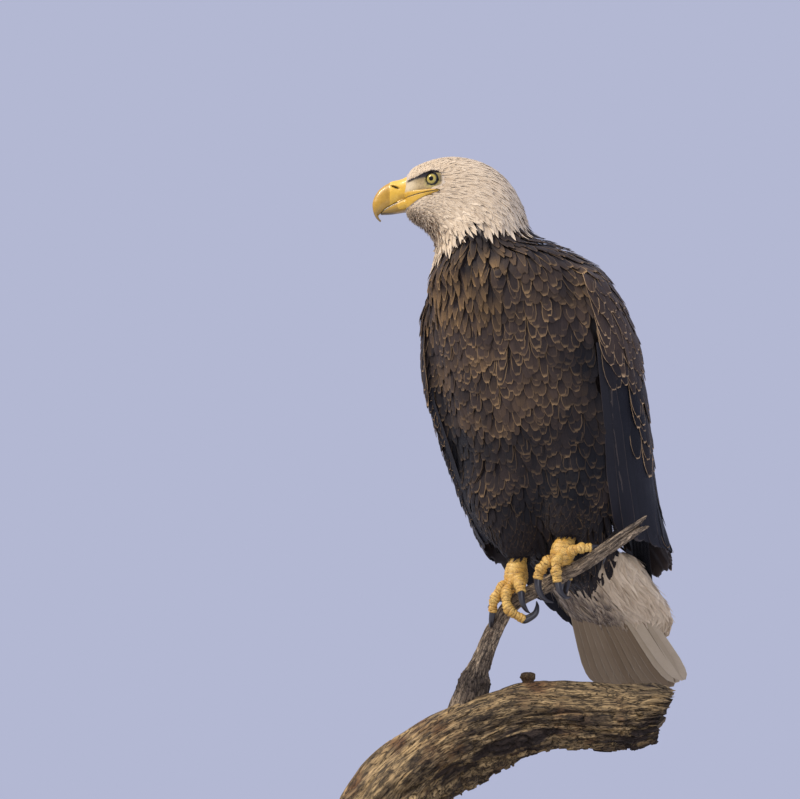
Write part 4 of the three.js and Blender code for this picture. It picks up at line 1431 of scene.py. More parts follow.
def wing_coats(side, name, ground, lands):
    """Coverts in sizes down the folded wing, and the dark quills below and ahead of them."""
    surface = past_the_end(wing_surface(side), 0.004, 0.985)
    facing = -side
    small, coverts = Coat(f"wing_{name}_small_coverts"), Coat(f"wing_{name}_coverts")
    quills = Coat(f"wing_{name}_quills")

    def on_this_wing(points):
        here = (points[:, 0] - BIRD_AT[0]) * side > 0.04
        return (lands.nearest(points) == WING_LAND) & here & (points[:, 2] > BIRD_AT[2] + 0.075)

    roots = ground.scattered(SMALL_COVERT_SPACING, on_this_wing)
    turn, height = round_body(roots)
    upper = ease(height, 0.60, 0.80) if side > 0 else 1.0
    keep = chance.random(len(roots)) < upper
    roots, turn, height = roots[keep], turn[keep], height[keep]
    n = len(roots)
    lines = march(ground, roots, np.broadcast_to(BODY_LINE, roots.shape), POINT,
                  0.030 * chance.uniform(0.85, 1.25, n), 0.007,
                  0.001 * chance.uniform(-0.6, 1.4, n), chance.normal(0, 0.14, n), BODY_LINE * 0.3)
    small.add(POINT, *lines, 0.0062 * chance.uniform(0.85, 1.1, n),
              marks_of(n, 0.1, 1 - ease(height, 0.55, 0.76), chance.random(n)),
              unwrapped(height, turn), chance.normal(0, 0.12, n))
    for start, end, pitch, spacing, length_mm, half_mm, front in WING_BANDS:
        t, across = rows_of_roots(surface, start, end, lambda t: pitch * MM,
                                  lambda t: spacing * MM, 0.4, front, 1.0)
        n = len(t)
        length = length_mm * MM * chance.uniform(0.75, 1.2, n)
        lines = lay(surface, t, across, COVERT, length, 0.005,
                    0.0008 + 0.0020 * chance.random(n), chance.normal(0, 0.07, n), ground, 0.85,
                    facing)
        # Darker towards the leading edge: partly the quills' own dark, partly painted shade beside
        # the breast; the right wing's front is its dark quills.
        shade = (1 - ease(across, front + 0.05, front + 0.4)) * ease(t, 0.3, 0.5)
        if side < 0:
            shade = np.maximum(shade, 0.85 * (1 - ease(across, 0.15, 0.6)) * ease(t, 0.12, 0.3))
        coverts.add(COVERT, *lines, half_mm * MM * chance.uniform(0.85, 1.1, n),
                    marks_of(n, 0.10, shade, 0.35 + 0.65 * chance.random(n)),
                    unwrapped(t, across, 0, 1), chance.normal(0, 0.08, n))
    across = np.arange(WING_QUILLS) / WING_QUILLS
    t = 0.46 + 0.12 * across
    length = 0.262 - 0.040 * across
    lines = lay(surface, t, across, QUILL, length, 0.004, 0.0, 0.0, ground, 0.85, facing)
    step = QUILL_STEP * np.arange(WING_QUILLS)[:, None, None]
    centres = lines[0] + lines[2] * (step - QUILL_SUNK)
    quills.add(QUILL, centres, *lines[1:], 0.0140, marks_of(WING_QUILLS, 0, 0, 1),
               unwrapped(t, across, 0, 1))
    return small, coverts, quills


WING_TIPS = {
    "left": {"root": [74, 112, 44], "tip": [30, 214, -84]},
    "right": {"root": [-78, 104, 44], "tip": [-34, 218, -96]},
}
WING_TIP_FACING = [0.62, 0.5, 0.6]
WING_TIP_WIDTH = 46
PRIMARIES = 6
PRIMARY_STEP = 23  # how much shorter each is than the one before
PRIMARY_ROOT = 30  # length hidden in the wing


def primary_coat(name, side):
    """The long quills of the wing tip, each shorter than the one before."""
    place = WING_TIPS[name]
    root, tip = (np.array(place[end], float) for end in ("root", "tip"))
    along = unit(tip - root)
    facing = np.array(WING_TIP_FACING) * [side, 1, 1]
    across = side * unit(np.cross(along, facing))
    outward = side * unit(np.cross(across, along))
    coat = Coat(f"wing_{name}_primaries")
    run = np.linalg.norm(tip - root) + PRIMARY_ROOT
    for k in range(PRIMARIES):
        share = k / (PRIMARIES - 1)
        reach = QUILL.stations * (run - PRIMARY_STEP * k)
        start = root - along * PRIMARY_ROOT + across * WING_TIP_WIDTH * (0.72 * share - 0.36)
        bow = 5 * (QUILL.stations - 0.5) ** 2
        centre = start + along * reach[:, None] + outward * (1.2 + 1.0 * k + bow)[:, None]
        shape = (1, len(reach), 3)
        sides = np.broadcast_to(across, shape)
        ups = np.broadcast_to(outward * side, shape)
        coat.add(QUILL, from_bird(centre)[None], sides, ups, 0.0115, marks_of(1),
                 [[0.1 + 0.15 * k, 0.5]])
    return coat


TAIL_LENGTH = 257
TAIL_SPREAD = math.radians(26)
TAIL_FEATHERS = 12
TAIL_ROOT_HALF = 9


def tail_coat():
    """Twelve white quills in a fan, the middle pair on top."""
    coat = Coat("tail_quills")
    c, s = math.cos(TAIL_SLOPE), math.sin(TAIL_SLOPE)
    up = swing(np.array([[0, s, c]]) + [0, RUMP[1], 0])[0] - [0, RUMP[1], 0]
    for k in range(TAIL_FEATHERS):
        out = 2 * (k + 0.5) / TAIL_FEATHERS - 1
        turn = out * TAIL_SPREAD / 2
        reach = QUILL.stations * (TAIL_LENGTH - 9 * out * out + chance.uniform(-2, 2))
        x = TAIL_ROOT_HALF * 2 * out + reach * math.sin(turn)
        down = reach * math.cos(turn)
        lift = 1.6 - 1.2 * abs(out)
        flat = np.stack([x, down * c, -down * s], -1) + np.array(TAIL_ROOT)
        centre = from_bird(swing(flat) + up * lift)
        ahead = unit(np.gradient(centre, axis=0))
        ups = np.broadcast_to(up, ahead.shape)
        sides = unit(np.cross(ups, ahead))
        # Painted shade on the undersides of all but the two outer feathers on the bird's left,
        # which stay white in the light.
        coat.add(QUILL, centre[None], sides[None], ups[None], 0.0180,
                 marks_of(1, 0, 0.78 - 0.75 * (k >= TAIL_FEATHERS - 2) + 0.2 * chance.random(1)),
                 [[0.05 + 0.08 * k, 0.5]], -0.05)
    return coat


# ---- Round bodies ----
def closed_tube(name, ring_at, along, around, ends=(0, 1), creased=None):
    """A closed tube with capped ends. ring_at(t, turn) gives points in the part's frame."""
    t = np.linspace(*ends, along)
    turn = np.arange(around) / around * FULL_TURN
    grid_t, grid_turn = np.meshgrid(t, turn, indexing="ij")
    points = ring_at(grid_t, grid_turn).reshape(-1, 3)
    quads = []
    for r in range(along - 1):
        for k in range(around):
            a, b = r * around + k, r * around + (k + 1) % around
            quads.append([a, b, b + around, a + around])
    thing = mesh_piece(name, points, quads)
    with editing(thing):
        bpy.ops.mesh.fill_holes(sides=0)
        bpy.ops.mesh.normals_make_consistent(inside=False)
    uv_map(thing, "Grain", np.stack([grid_turn.ravel() / FULL_TURN, grid_t.ravel()], -1))
    if creased is not None:
        float_attribute(thing, "crease", creased(grid_t, grid_turn).ravel())
        float_attribute(thing, "foot", np.ones(len(points)))
    return thing


def swept(rows, girth=lambda t, turn: 1.0, bumps=lambda t, turn: 0.0, into=from_bird):
    """Rings across a smooth line. Rows: x, y, z, radius, mm. girth scales, bumps adds mm."""
    rows = np.array(rows, float)
    row_at = tween(rows)
    fine = np.linspace(0, 1, 400)
    line = row_at(fine)[:, :3]
    travelled = np.concatenate([[0], np.cumsum(np.linalg.norm(np.diff(line, axis=0), axis=1))])
    even = np.interp(fine * travelled[-1], travelled, fine)
    line = row_at(even)
    ahead = unit(np.gradient(line[:, :3], axis=0))
    side = np.empty_like(ahead)
    start = np.array([0, 0, 1.0]) if abs(ahead[0, 2]) < 0.9 else np.array([0, -1.0, 0])
    side[0] = unit(start - ahead[0] * (start @ ahead[0]))
    for k in range(1, len(side)):
        side[k] = unit(side[k - 1] - ahead[k] * (side[k - 1] @ ahead[k]))
    cross = np.cross(ahead, side)

    def ring_at(t, turn):
        def at(table):
            return np.stack([np.interp(t, fine, table[:, c]) for c in range(table.shape[1])], -1)

        place = at(line)
        radius = place[..., 3] * girth(t, turn) + bumps(t, turn)
        out = at(side) * np.cos(turn)[..., None] + at(cross) * np.sin(turn)[..., None]
        return into(place[..., :3] + unit(out) * radius[..., None])

    return ring_at


# ---- Eyes ----
EYE_TURN = math.radians(19)  # the eyes look this far ahead of sideways
EYE_DIP = math.radians(1)
OPENING = 8.5  # radius of the opening between the lids, mm


def eye_axis(side):
    return np.array([side * math.cos(EYE_TURN) * math.cos(EYE_DIP), -math.sin(EYE_TURN),
                     -math.sin(EYE_DIP)])


def eye_middle(side):
    return EYE_CENTRE * [side, 1, 1]


def eyeball(side, name):
    """A globe with a clear bulge of cornea, with its own map centred on the pupil."""
    axis = eye_axis(side)
    only_up = np.array([0, 0, 1.0])
    right = unit(np.cross(only_up, axis))
    up = np.cross(axis, right)

    def ring_at(t, turn):
        polar = t * math.pi
        bulge = 1 + 0.055 * np.exp(-((polar / 0.55) ** 2))
        radius = EYE_RADIUS * bulge * 0.985
        out = (axis * np.cos(polar)[..., None] + right * (np.sin(polar) * np.cos(turn))[..., None]
               + up * (np.sin(polar) * np.sin(turn))[..., None])
        return from_head(eye_middle(side) + out * radius[..., None])

    ball = closed_tube(f"eye_{name}_globe", ring_at, 64, 48, ends=(0.004, 0.996))
    local = to_head(coordinates(ball)) - eye_middle(side)
    uv_map(ball, "Iris", np.stack([local @ right, local @ up], -1) / EYE_RADIUS / 2 + 0.5)
    smooth(ball)
    return finished(ball, EYE_FINISH, "eye", f"eye_{name}")


# ---- Bill ----
# Rows: top y, top z, bottom y, bottom z, half width.
UPPER_BILL = [
    [-27, 1, -27, -33, 17],
    [-38, -4.2, -37, -35, 13.6],
    [-51.5, -7.5, -47.5, -39.6, 11.2],
    [-64.6, -16, -56, -44.2, 9.0],
    [-72, -27, -62, -48, 7.2],
    [-74.4, -37, -65.6, -50.4, 5.4],
    [-73.1, -47, -66.6, -52.4, 3.9],
    [-69.5, -55, -65.5, -55.4, 2.7],
    [-64.3, -60.2, -63, -58.4, 1.2],
]
LOWER_BILL = [
    [-27, -28, -27, -45.5, 16],
    [-37, -30, -37, -47.6, 12],
    [-49, -36, -50, -49.8, 8.6],
    [-58, -42, -60, -50.4, 6],
    [-62.5, -46, -63.6, -50.6, 3],
]
NOSTRIL = [10.0, -45.0, -16.5]  # middle of the left slit, in the head's frame
NOSTRIL_HALF = [6.5, 1.5]
BILL_FULLNESS = 0.85
CERE_EDGE = -52  # where the fleshy cere ends and the horn starts, along y


def nostril_depth(place):
    """1 in the middle of a nostril and 0 outside it."""
    across = place - np.array(NOSTRIL) * np.stack(
        [np.sign(place[..., 0]), np.ones(place.shape[:-1]), np.ones(place.shape[:-1])], -1)
    lean = 0.42
    along = across[..., 1] * math.cos(lean) - across[..., 2] * math.sin(lean)
    over = across[..., 1] * math.sin(lean) + across[..., 2] * math.cos(lean)
    reach = np.hypot(along / NOSTRIL_HALF[0], over / NOSTRIL_HALF[1])
    return np.where(np.abs(place[..., 0]) > 4, 1 - ease(reach, 0.55, 1.15), 0)


def shape_upper(turn, place):
    """Cuts the nostrils and swells the cere a little over the horn."""
    y = place[..., 1]
    swell = 0.45 * (ease(y, CERE_EDGE - 1.5, CERE_EDGE + 1.5) - 1)
    top = ease(place[..., 2], -36, -30)
    side = np.sign(place[..., 0])
    inward = -side * 3.2 * nostril_depth(place) - side * -swell * top
    return place + np.stack([inward, 0 * y, swell * top * np.cos(turn)], -1)


def bill():
    upper = closed_tube("bill_upper_horn",
                        round_sections(UPPER_BILL, BILL_FULLNESS, shape_upper), 150, 96)
    place = to_head(coordinates(upper))
    # Painted shade in the nostril slits.
    float_attribute(upper, "painted_shade", nostril_depth(place))
    float_attribute(upper, "cere", ease(place[:, 1], CERE_EDGE - 1, CERE_EDGE + 1.2))
    float_attribute(upper, "tip", ease(-place[:, 2], 34, 56))
    smooth(upper)
    finished(upper, BILL_FINISH, "bill_horn", "bill_upper")
    lower = closed_tube("bill_lower_horn", round_sections(LOWER_BILL, BILL_FULLNESS), 60, 48)
    place = to_head(coordinates(lower))
    # Painted shade along the mouth's seam under the upper bill and at the lower bill's bottom edge;
    # its underside is darkened as painted shade too.
    under_edge = line_height(MOUTH_LINE, place[:, 1]) - place[:, 2]
    seam_and_underside_shade = 0.85 * (1 - ease(under_edge, 0.2, 1.3)) + 0.7 * ease(-place[:, 2], 48.2, 49.6)
    float_attribute(lower, "painted_shade", np.clip(seam_and_underside_shade, 0, 1))
    float_attribute(lower, "cere", 0 * place[:, 1])
    float_attribute(lower, "tip", 0.8 * ease(-place[:, 2], 40, 48))
    smooth(lower)
    finished(lower, BILL_FINISH, "bill_horn", "bill_lower")
    return upper, lower


LIPS_START, LIPS_END = -45, 12  # how far the fleshy lips run, along y in the head's frame
LIP_FULLNESS = 1.1


def lips(face, bill_pieces):
    """The yellow flesh that carries the bill's edges back to the corners of the mouth."""
    both = joined_copy("face_and_bill", face, *bill_pieces)
    target = Ground(both)
    bpy.data.objects.remove(both)
    along, across = np.linspace(0, 1, 72), np.linspace(0, 1, 26)
    u, v = np.meshgrid(along, across, indexing="ij")
    y = LIPS_START + (LIPS_END - LIPS_START) * u
    low, high = line_height(LIP_FOOT, y), line_height(LIP_TOP, y)
    z = low + (high - low) * v
    line = 1 - ease(np.abs(z - line_height(MOUTH_LINE, y)), 0.3, 0.9)
    full = LIP_FULLNESS * (np.sin(math.pi * v) ** 0.5)
    full = full * ease(u, 0.0, 0.12) * (1 - ease(u, 0.93, 1.0))
    full = full - 0.9 * line * ease(u, 0.02, 0.1) - 0.35
    for side, name in ((1, "left"), (-1, "right")):
        start = from_head(np.stack([side * 60 + 0 * y, y, z], -1))
        aim = Vector(unit(head_direction([-side, 0, 0])))
        hits = []
        for place in map(Vector, start.reshape(-1, 3)):
            hit = target.tree.ray_cast(place, aim)[0]
            hits.append(hit or target.tree.find_nearest(place + aim * 0.05)[0])
        face_at = to_head(np.array(hits)).reshape(*u.shape, 3)
        outer = face_at + np.stack([side * full, 0 * y, 0 * y], -1)
        inner = face_at - np.stack([side * 3.0 + 0 * y, 0 * y, 0 * y], -1)
        thing = blanket(f"lips_{name}", from_head(outer), from_head(inner))
        both = np.concatenate([line.ravel(), 0 * line.ravel()])
        # Painted shade along the mouth line, over the carved groove.
        float_attribute(thing, "painted_shade", 0.9 * both)
        float_attribute(thing, "tip", 0 * both)
        float_attribute(thing, "cere", 0.55 + 0 * both)
        smooth(thing)
        finished(thing, BILL_FINISH, "bill_horn", f"gape_{name}")


def joined_copy(name, *things):
    both = joined([twin_of(thing) for thing in things], name)
    modify(both, "TRIANGULATE")
    return both


def blanket(name, outer, inner):
    """A closed sheet between two grids of points of one size."""
    rows, columns = outer.shape[:2]
    size = rows * columns
    at = np.arange(size).reshape(rows, columns)
    a, b, c, d = at[:-1, :-1], at[:-1, 1:], at[1:, 1:], at[1:, :-1]
    quads = np.stack([a, b, c, d], -1).reshape(-1, 4)
    rim = np.concatenate([at[0, :-1], at[:-1, -1], at[-1, :0:-1], at[:0:-1, 0]])
    ahead = np.roll(rim, -1)
    wall = np.stack([ahead, rim, rim + size, ahead + size], -1)
    faces = np.concatenate([quads, quads[:, ::-1] + size, wall])
    thing = mesh_piece(name, np.concatenate([outer.reshape(-1, 3), inner.reshape(-1, 3)]), faces)
    with editing(thing):
        bpy.ops.mesh.normals_make_consistent(inside=False)
    grid = np.stack(np.meshgrid(np.linspace(0, 1, rows), np.linspace(0, 1, columns),
                                indexing="ij"), -1)
    uv_map(thing, "Grain", np.tile(grid.reshape(-1, 2), (2, 1)))
    return thing


# ---- Feet ----
SHANKS = {
    "left": [[42, 22, 84, 9.5], [39, 8, 62, 9.5], [36.5, -6, 44, 11], [35, -13, 31, 15.5],
             [34.5, -15.5, 20, 16], [35, -14, 9, 11]],
    "right": [[-43, 26, 62, 9.5], [-40, 12, 42, 9.6], [-38, 0, 22, 11], [-38, -6, 9, 15],
              [-38, -8, -5, 16], [-38, -8, -17, 11]],
}
TOES = {
    "left": {
        "outer": [[40, -16, 22], [54, -20, 27], [67, -20, 29], [77, -15, 29]],
        "middle": [[35, -22, 20], [35.5, -33, 12], [36.5, -36, -3], [38, -35, -15]],
        "inner": [[29, -20, 19], [19, -30, 12], [11, -34, 0], [8.5, -34, -9]],
        "hind": [[34, -8, 18], [30, 6, 13], [27, 12, 3], [26, 12, -7]],
    },
    "right": {
        "outer": [[-41, -12, -4], [-50, -25, -16], [-58, -30, -32], [-62, -27, -47]],
        "middle": [[-39, -14, -5], [-41, -28, -24], [-36, -30, -45], [-20, -18, -58]],
        "inner": [[-34, -13, -4], [-26, -24, -8], [-19, -31, -15], [-16, -34, -25]],
        "hind": [[-38, -2, -6], [-44, 8, -11], [-52, 10, -21], [-60, 8, -30]],
    },
}
TALONS = {
    "left": {
        "outer": [[83, -5, 29], [84, 4, 20], [80, 8, 9]],
        "middle": [[40, -33, -26], [44, -27, -33], [47, -18, -32]],
        "inner": [[9, -33, -22], [14, -27, -34], [22, -18, -38]],
        "hind": [[26, 8, -19], [28, 1, -27], [32, -8, -29]],
    },
    "right": {
        "outer": [[-66, -23, -59], [-71, -14, -67], [-73, -4, -68]],
        "middle": [[-9, -12, -51], [-6, -10, -42], [-8, -8, -34]],
        "inner": [[-15, -33, -37], [-13, -27, -46], [-12, -18, -50]],
        "hind": [[-69, 8, -26], [-77, 3, -29], [-81, -6, -38]],
    },
}
GIRTH = {"outer": 0.95, "middle": 1, "inner": 1.05, "hind": 1.1}
TOE_RADIUS = 7.5
TALON_RADIUS = 5.1
TALON_TAPER = [0.92, 1, 0.84, 0.56, 0.12]
SCUTE_PITCH = 4.3  # mm from one cross plate of a toe to the next


def plate_wave(plates, t, turn):
    """Cross plates that overlap like tiles: 1 on each swell, falling to 0 in its crease."""
    uneven = 0.16 * np.sin(3.1 * plates * t + 2 * turn) + 0.10 * np.sin(turn * 3 + 7 * t)
    share = np.mod(plates * t + uneven, 1)
    return ease(share, 0.0, 0.28) * (1 - 0.55 * share ** 3) * (1 - ease(share, 0.93, 1.0))


def foot_parts(side):
    """The shank and the four toes as overlapping closed tubes with their cross plates."""
    parts = []
    for name, line in TOES[side].items():
        girth = TOE_RADIUS * GIRTH[name]
        rows = [[*place, girth * (1 - 0.035 * n)] for n, place in enumerate(line)]
        plates = max(3, round(sum(math.dist(a, b) for a, b in zip(line, line[1:])) / SCUTE_PITCH))

        def girth_at(t, turn):
            end = np.sqrt(np.clip(1 - (np.clip(t - 0.84, 0, 1) / 0.19) ** 2, 0, 1))
            knuckles = 0.13 * np.cos(6 * math.pi * t) - 0.05 * np.sin(turn * 2)
            return (0.96 + knuckles) * (0.35 + 0.65 * end)

        def wave_at(t, turn, plates=plates):
            return plate_wave(plates, t, turn)

        ring = swept(rows, girth_at, lambda t, turn: 1.3 * (wave_at(t, turn) - 0.75))
        parts.append(closed_tube(f"toe_{name}", ring, 120, 32, creased=lambda t, turn:
                                 1 - ease(wave_at(t, turn), 0.1, 0.75)))

    ring = swept(SHANKS[side], lambda t, turn: 0.93 + 0.05 * np.sin(2 * turn),
                 lambda t, turn: 0.9 * (plate_wave(14, t, turn) - 0.75))
    parts.append(closed_tube("shank", ring, 140, 48, creased=lambda t, turn:
                             0.9 * (1 - ease(plate_wave(14, t, turn), 0.1, 0.75))))
    return parts


def talons():
    for side, toes in TALONS.items():
        for name, line in toes.items():
            before, root = TOES[side][name][-2:]
            inner = [r + 0.22 * (b - r) for r, b in zip(root, before)]
            radius = TALON_RADIUS * GIRTH[name]
            rows = [[*place, radius * share]
                    for place, share in zip([inner, root, *line], TALON_TAPER)]
            flat = swept(rows, lambda t, turn: 1 - 0.12 * np.abs(np.sin(turn)))
            claw = closed_tube(f"talon_{name}_{side}_horn", flat, 40, 20)
            smooth(claw)
            finished(claw, TALON_FINISH, "talon", f"talon_{name}_{side}")


# ---- The one skin ----
FACE_VOXEL = 0.0012
FACE_BACK = 62  # the finer face reaches this far back, along y in the head's frame


def open_lids(thing):
    """Opens the lids over the eyes: a rim close over the globe and a hollow behind it."""
    local = to_head(coordinates(thing))
    for side in (1, -1):
        axis, middle = eye_axis(side), eye_middle(side)
        offset = local - middle
        height = offset @ axis
        flat = offset - height[:, None] * axis
        reach = np.linalg.norm(flat, axis=1)
        over = (height > 0) & (reach < 22)
        globe = np.sqrt(np.clip(EYE_RADIUS ** 2 - np.minimum(reach, 11.6) ** 2, 0, None))
        inner = globe - 3.0
        rim = globe + 1.15 * np.exp(-((reach - OPENING - 1.1) / 1.5) ** 2)
        wanted = np.where(reach < OPENING, inner, rim)
        share = 1 - ease(reach, OPENING + 2.0, OPENING + 6.5)
        wanted = height + (wanted - height) * share
        local = np.where(over[:, None], local + (wanted - height)[:, None] * axis, local)
    move_to(thing, from_head(local))


def clip_behind(thing):
    """Cuts a closed body on the plane across the back of the face, keeps the front, closes it."""
    with editing(thing):
        bpy.ops.mesh.bisect(plane_co=from_head([0, FACE_BACK, 0]),
                            plane_no=unit(head_direction([0, -1, 0])), use_fill=True,
                            clear_inner=True)


def face_skin():
    face = copy_of("face", "head", "eye_left", "eye_right")
    modify(face, "REMESH", mode="VOXEL", voxel_size=FACE_VOXEL)
    modify(face, "SMOOTH", factor=0.5, iterations=6)
    clip_behind(face)
    points, normals = coordinates(face), vertex_normals(face)
    move_to(face, points - normals * depth_of_coat(points)[:, None])
    open_lids(face)
    return face


def skin_marks(thing, is_foot, lands, find_on_neck):
    """The same markings that the feathers have, and the bare parts."""
    points = coordinates(thing)
    folded = in_left_plane(points)
    x, y, z = np.moveaxis(folded, -1, 0)
    white = inside_white(points, lands, find_on_neck)
    float_attribute(thing, "white", white & ~is_foot)
    face = (x > 6) & (np.linalg.norm(folded - [20, -8, -20], axis=1) < 60)
    reach = np.linalg.norm(np.cross(folded - EYE_CENTRE, eye_axis(1)), axis=1)
    ridge = line_height(BROW_LINE, y)
    lids = from_lids(y, z) < LIDS_REACH + 1
    lores = ((y < 4) | lids) & (z < ridge) & (z > -34)
    # The band under the brow ridge: painted shadow over dark bare skin, deepest over the front of
    # the eye.
    shadow = np.interp(y, [-30, -20, -12, -4, 4, 12], [1.6, 3.2, 6.0, 8.6, 6.0, 2.0])
    brow = ease(z, ridge - shadow - 1.0, ridge - shadow + 0.4)
    brow = brow * (1 - ease(z, ridge + 0.6, ridge + 2))
    brow = brow * ease(y, -32, -27) * (1 - ease(y, 10, 14))
    # Painted shade in the crease behind and below the lids.
    fold = np.exp(-((from_lids(y, z) - LIDS_REACH + 0.9) / 0.6) ** 2)
    fold = fold * ease(y - 0.8 * (z + 11), 4, 10)
    fold = fold * (1 - ease(z, -6, -2))
    # Painted shadow under the bill, at the top of the throat.
    throat = ease(z, -60, -54) * (1 - ease(z, line_height(LIP_FOOT, y) - 1.5,
                                           line_height(LIP_FOOT, y))) * (y < -20)
    dark = np.clip(brow + 0.8 * fold + 0.6 * throat, 0, 1)
    float_attribute(thing, "lores", lores * face)
    float_attribute(thing, "paler", 0.7 * (1 - ease(y, -30, -14)) * ease(z, -30, -20))
    float_attribute(thing, "lips", on_lips(y, z) * face)
    float_attribute(thing, "brow", dark * face)
    float_attribute(thing, "rim", (1 - ease(reach, OPENING - 0.1, OPENING + 0.5)) * face)
    float_attribute(thing, "lid", (1 - ease(reach, OPENING + 1.6, OPENING + 2.6)) * face)


def whole_skin(shell, lands, find_on_neck):
    """Body, face and feet as one skin."""
    body = twin_of(shell)
    sink_in(body)
    parts = [face_skin()] + [part for side in ("left", "right") for part in foot_parts(side)]
    skin = joined([body] + parts, "skin")
    is_foot = np.zeros(len(skin.data.vertices), np.float32)
    skin.data.attributes["foot"].data.foreach_get("value", is_foot)
    skin_marks(skin, is_foot > 0.5, lands, find_on_neck)
    smooth(skin, 60)
    return finished(skin, SKIN_FINISH, "white_plumage", *FLESH, *FEET)


# ---- Perch ----
BRANCH = [
    [-117, -3, -182, 27],
    [-109, -6, -158, 25],
    [-103, -9, -143, 21],
    [-91, -10, -109, 14],
    [-73, -10, -76, 11.8],
    [-54, -10, -47, 11],
    [-31, -10, -29, 10.5],
    [-1, -10, -18, 10],
    [28, -11, -5, 9.6],
    [60, -10, 8, 9.2],
    [92, -9, 27, 9.4],
    [120, -8, 43, 9],
    [139, -6, 54, 8],
]
LIMB = [
    [124, 118, -176, 33],
    [108, 110, -177, 39],
    [84, 97, -178, 42],
    [39, 74, -179, 45],
    [-7, 50, -178, 44.5],
    [-53, 26, -184, 48],
    [-97, -1, -202, 52],
    [-139, -31, -230, 54],
    [-181, -61, -272, 55],
    [-214, -88, -323, 53],
    [-238, -107, -365, 53],
]
LIMB_CUT = 0.122  # height of the sawn face


def lumps(t, turn):
    return 1 + 0.05 * np.sin(3 * turn + 9 * t) + 0.04 * np.sin(5 * turn - 17 * t + 1)


def grain_noise(t, turn, length, around, rough):
    """Relief in mm that runs along the wood."""
    flat_t, flat_turn = np.ravel(t), np.ravel(turn)
    out = np.empty(len(flat_t))
    for i, (a, b) in enumerate(zip(flat_t, flat_turn)):
        c, s = math.cos(b), math.sin(b)
        long_wave = noise.noise(Vector((c * around, s * around, a * length)))
        fine = noise.noise(Vector((c * around * 4, s * around * 4, a * length * 3.1)))
        crack = abs(noise.noise(Vector((c * around * 1.9, s * around * 1.9, a * length * 0.8 + 9))))
        out[i] = rough * (long_wave + 0.45 * fine - 1.1 * max(0.0, 0.16 - crack) / 0.16)
    return out.reshape(np.shape(t))


KNOT = [-44, 32, -121, 9]


def limb():
    """A weathered limb: long cracks above, rough plates below, torn at one end."""

    def bumps(t, turn):
        under = ease(-np.cos(turn - 0.5), 0.0, 0.7)
        plates = grain_noise(t, turn, 16.0, 3.2, 1.0)
        return (grain_noise(t, turn, 7.0, 1.8, 3.4) + 5.0 * under * np.round(plates * 2) / 2 - 1.5)

    ring = swept(np.array(LIMB, float), lumps, bumps)
    outward = unit(np.array([16.0, 8.0, 1.0]))

    def broken_ring(t, turn):
        place = ring(t, turn)
        start = 1 - ease(t, 0.0, 0.16)
        torn = grain_noise(np.full(t.shape, 0.3), turn * 3, 4.0, 2.6, 0.009)
        height = (place[..., 2] - BIRD_AT[2]) / MM + 143
        back = 0.46 * MM * np.clip(-height, -8, 90)
        return place + outward * ((torn - back) * start)[..., None]

    def underside(t, turn):
        patch = ease(grain_noise(t, turn, 6.0, 1.6, 1.0), -0.8, 0.3)
        return ease(-np.cos(turn - 0.5), -0.1, 0.75) * patch

    thing = closed_tube("perch_limb_wood", broken_ring, 380, 170, creased=underside)
    x, y, z, radius = KNOT
    snapped = swept([[x, y, z - 26, radius + 3], [x, y, z - 13, radius - 2],
                     [x, y, z - 7, radius + 0.5], [x, y, z - 2, radius], [x, y, z, radius - 4]],
                    lumps,
                    lambda t, turn: grain_noise(t, turn, 3.0, 2.0, 1.6))
    knot = closed_tube("knot", snapped, 40, 36)
    thing = joined([thing, knot], "perch_limb_wood")
    with editing(thing):
        bpy.ops.mesh.bisect(plane_co=(0, 0, LIMB_CUT), plane_no=(0, 0, 1), use_fill=True,
                            clear_inner=True)
    smooth(thing, 55)
    return finished(thing, WOOD_FINISH, "weathered_wood", "perch_limb")


def branch():
    """The dead branch under the feet: fluted bark, a knobbed collar below, splinters at the tip."""

    def bumps(t, turn):
        collar = np.exp(-(((t - 0.15) / 0.045) ** 2))
        knobs = grain_noise(t, turn, 30.0, 2.2, 1.0)
        return grain_noise(t, turn, 9.0, 1.3, 1.5) - 0.5 + collar * (1.5 + 3.5 * knobs)

    def girth(t, turn):
        end = ease(t, 0.84, 1.0)
        return lumps(t, turn) * (1 - 0.75 * end * np.abs(np.sin(1.5 * turn + 0.5)) ** 1.5)

    ring = swept(BRANCH, girth, bumps)
    outward = unit(np.array([19.0, 2.0, 11.0]))

    def splintered(t, turn):
        longer = 0.012 * ease(t, 0.84, 1.0) * np.cos(3 * turn + 1) * (1 + 0.5 * np.cos(turn))
        return ring(t, turn) + outward * longer[..., None]

    # Darker round the collar and on the underside.
    def darker_collar_and_underside(t, turn):
        below = 0.5 * ease(-np.cos(turn), 0.1, 0.9)
        return np.clip(0.85 * np.exp(-(((t - 0.14) / 0.06) ** 2)) + below, 0, 1)

    thing = closed_tube("perch_branch_bark", splintered, 320, 64, creased=darker_collar_and_underside)
    smooth(thing, 55)
    return finished(thing, BARK_FINISH, "weathered_wood", "perch_branch")


# ---- Stand ----
BASE_RADIUS = 0.250
BASE_THICKNESS = 0.024
ROD_RADIUS = 0.008


